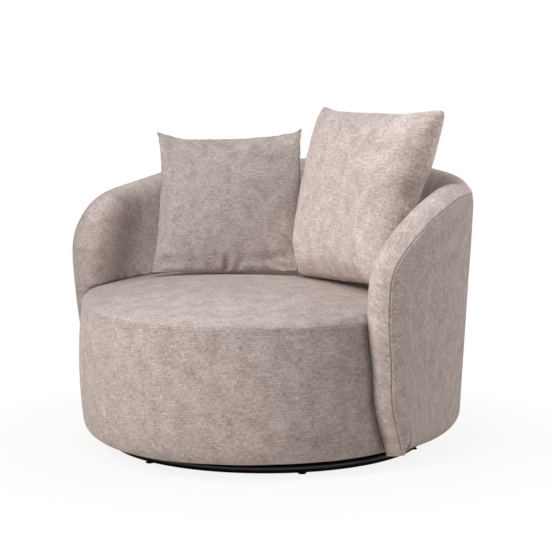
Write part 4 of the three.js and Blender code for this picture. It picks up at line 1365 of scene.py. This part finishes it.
def stageFloor():
    deselectAll()
    bpy.ops.mesh.primitive_plane_add(size=floorLook["size"])
    floor = bpy.context.object
    floor.name = "floor"
    material, tree = newMaterial("paleFloor", floorLook["viewport"])
    output = tree.nodes["Material Output"]
    matt = addNode(tree, "ShaderNodeBsdfDiffuse", {"Color": linear(floorLook["colour"])})
    white = addNode(tree, "ShaderNodeEmission", {"Color": (1, 1, 1, 1), "Strength": 1})
    rays = addNode(tree, "ShaderNodeLightPath")
    place = addNode(tree, "ShaderNodeTexCoord").outputs["Object"]
    distance = addNode(tree, "ShaderNodeVectorMath", {0: place}, operation="LENGTH").outputs["Value"]
    near, far = floorLook["fades"]
    plain = addNode(tree, "ShaderNodeMapRange", {
        "Value": distance, "From Min": near, "From Max": far, "To Min": floorLook["underChair"], "To Max": 1})
    seen = addNode(tree, "ShaderNodeMath", {
        0: rays.outputs["Is Camera Ray"], 1: plain.outputs["Result"]}, operation="MULTIPLY")
    both = addNode(tree, "ShaderNodeMixShader", {0: seen.outputs[0], 1: matt.outputs[0], 2: white.outputs[0]})
    tree.links.new(both.outputs[0], output.inputs["Surface"])
    floor.data.materials.append(material)


# each lamp's direction from the chair, in degrees round from the front and up from the floor; sizes and
# distances are in metres
lampTarget = Vector((0, 0, 0.4))
lampDistance = 5.5
lamps = {
    "keyLamp": {"around": -60, "height": 40, "size": 0.8, "power": 48},
    "frontLamp": {"around": -15, "height": 35, "size": 1.8, "power": 142},
    "topLamp": {"around": 20, "height": 65, "size": 1.8, "power": 62},
    "sideLamp": {"around": 130, "height": 35, "size": 2, "power": 110},
}


surround = {"colour": "#fdf9f6", "strength": 0.16}


def softLamp(name, look):
    around, height = math.radians(look["around"]), math.radians(look["height"])
    level = math.cos(height)
    way = Vector((math.sin(around) * level, -math.cos(around) * level, math.sin(height)))
    lamp = bpy.data.lights.new(name, "AREA")
    lamp.size = look["size"]
    lamp.energy = look["power"]
    holder = bpy.data.objects.new(name, lamp)
    bpy.context.scene.collection.objects.link(holder)
    holder.location = lampTarget + way * lampDistance
    holder.rotation_euler = (-way).to_track_quat("-Z", "Y").to_euler()


def studioLight():
    # a faint even light all round, which the camera and mirrored rays see as plain white
    world = bpy.data.worlds.new("studio")
    bpy.context.scene.world = world
    world.use_nodes = True
    tree = world.node_tree
    output = tree.nodes["World Output"]
    soft = addNode(tree, "ShaderNodeBackground", {
        "Color": linear(surround["colour"]), "Strength": surround["strength"]})
    white = addNode(tree, "ShaderNodeBackground", {"Color": (1, 1, 1, 1), "Strength": 1})
    rays = addNode(tree, "ShaderNodeLightPath")
    seen = addNode(tree, "ShaderNodeMath", {
        0: rays.outputs["Is Camera Ray"], 1: rays.outputs["Is Glossy Ray"]}, operation="MAXIMUM")
    both = addNode(tree, "ShaderNodeMixShader", {0: seen.outputs[0], 1: soft.outputs[0], 2: white.outputs[0]})
    tree.links.new(both.outputs[0], output.inputs["Surface"])
    for name, look in lamps.items():
        softLamp(name, look)


camera = {"azimuth": 34.243, "pitch": 9.714, "focal": 2239.1, "frame": 552, "sensor": 36,
          "place": (3.4187, -5.0223, 1.3571), "middle": (265.55, 326.6)}


def photoCamera():
    lens = bpy.data.cameras.new("camera")
    lens.sensor_width = camera["sensor"]
    lens.lens = camera["focal"] * camera["sensor"] / camera["frame"]
    lens.shift_x = 0.5 - camera["middle"][0] / camera["frame"]
    lens.shift_y = camera["middle"][1] / camera["frame"] - 0.5
    holder = bpy.data.objects.new("camera", lens)
    bpy.context.scene.collection.objects.link(holder)
    holder.location = camera["place"]
    holder.rotation_euler = Euler((math.radians(90 - camera["pitch"]), 0, math.radians(camera["azimuth"])))
    bpy.context.scene.camera = holder


stageFloor()
studioLight()
photoCamera()
bpy.context.scene.view_settings.view_transform = "Standard"
print("stage set")
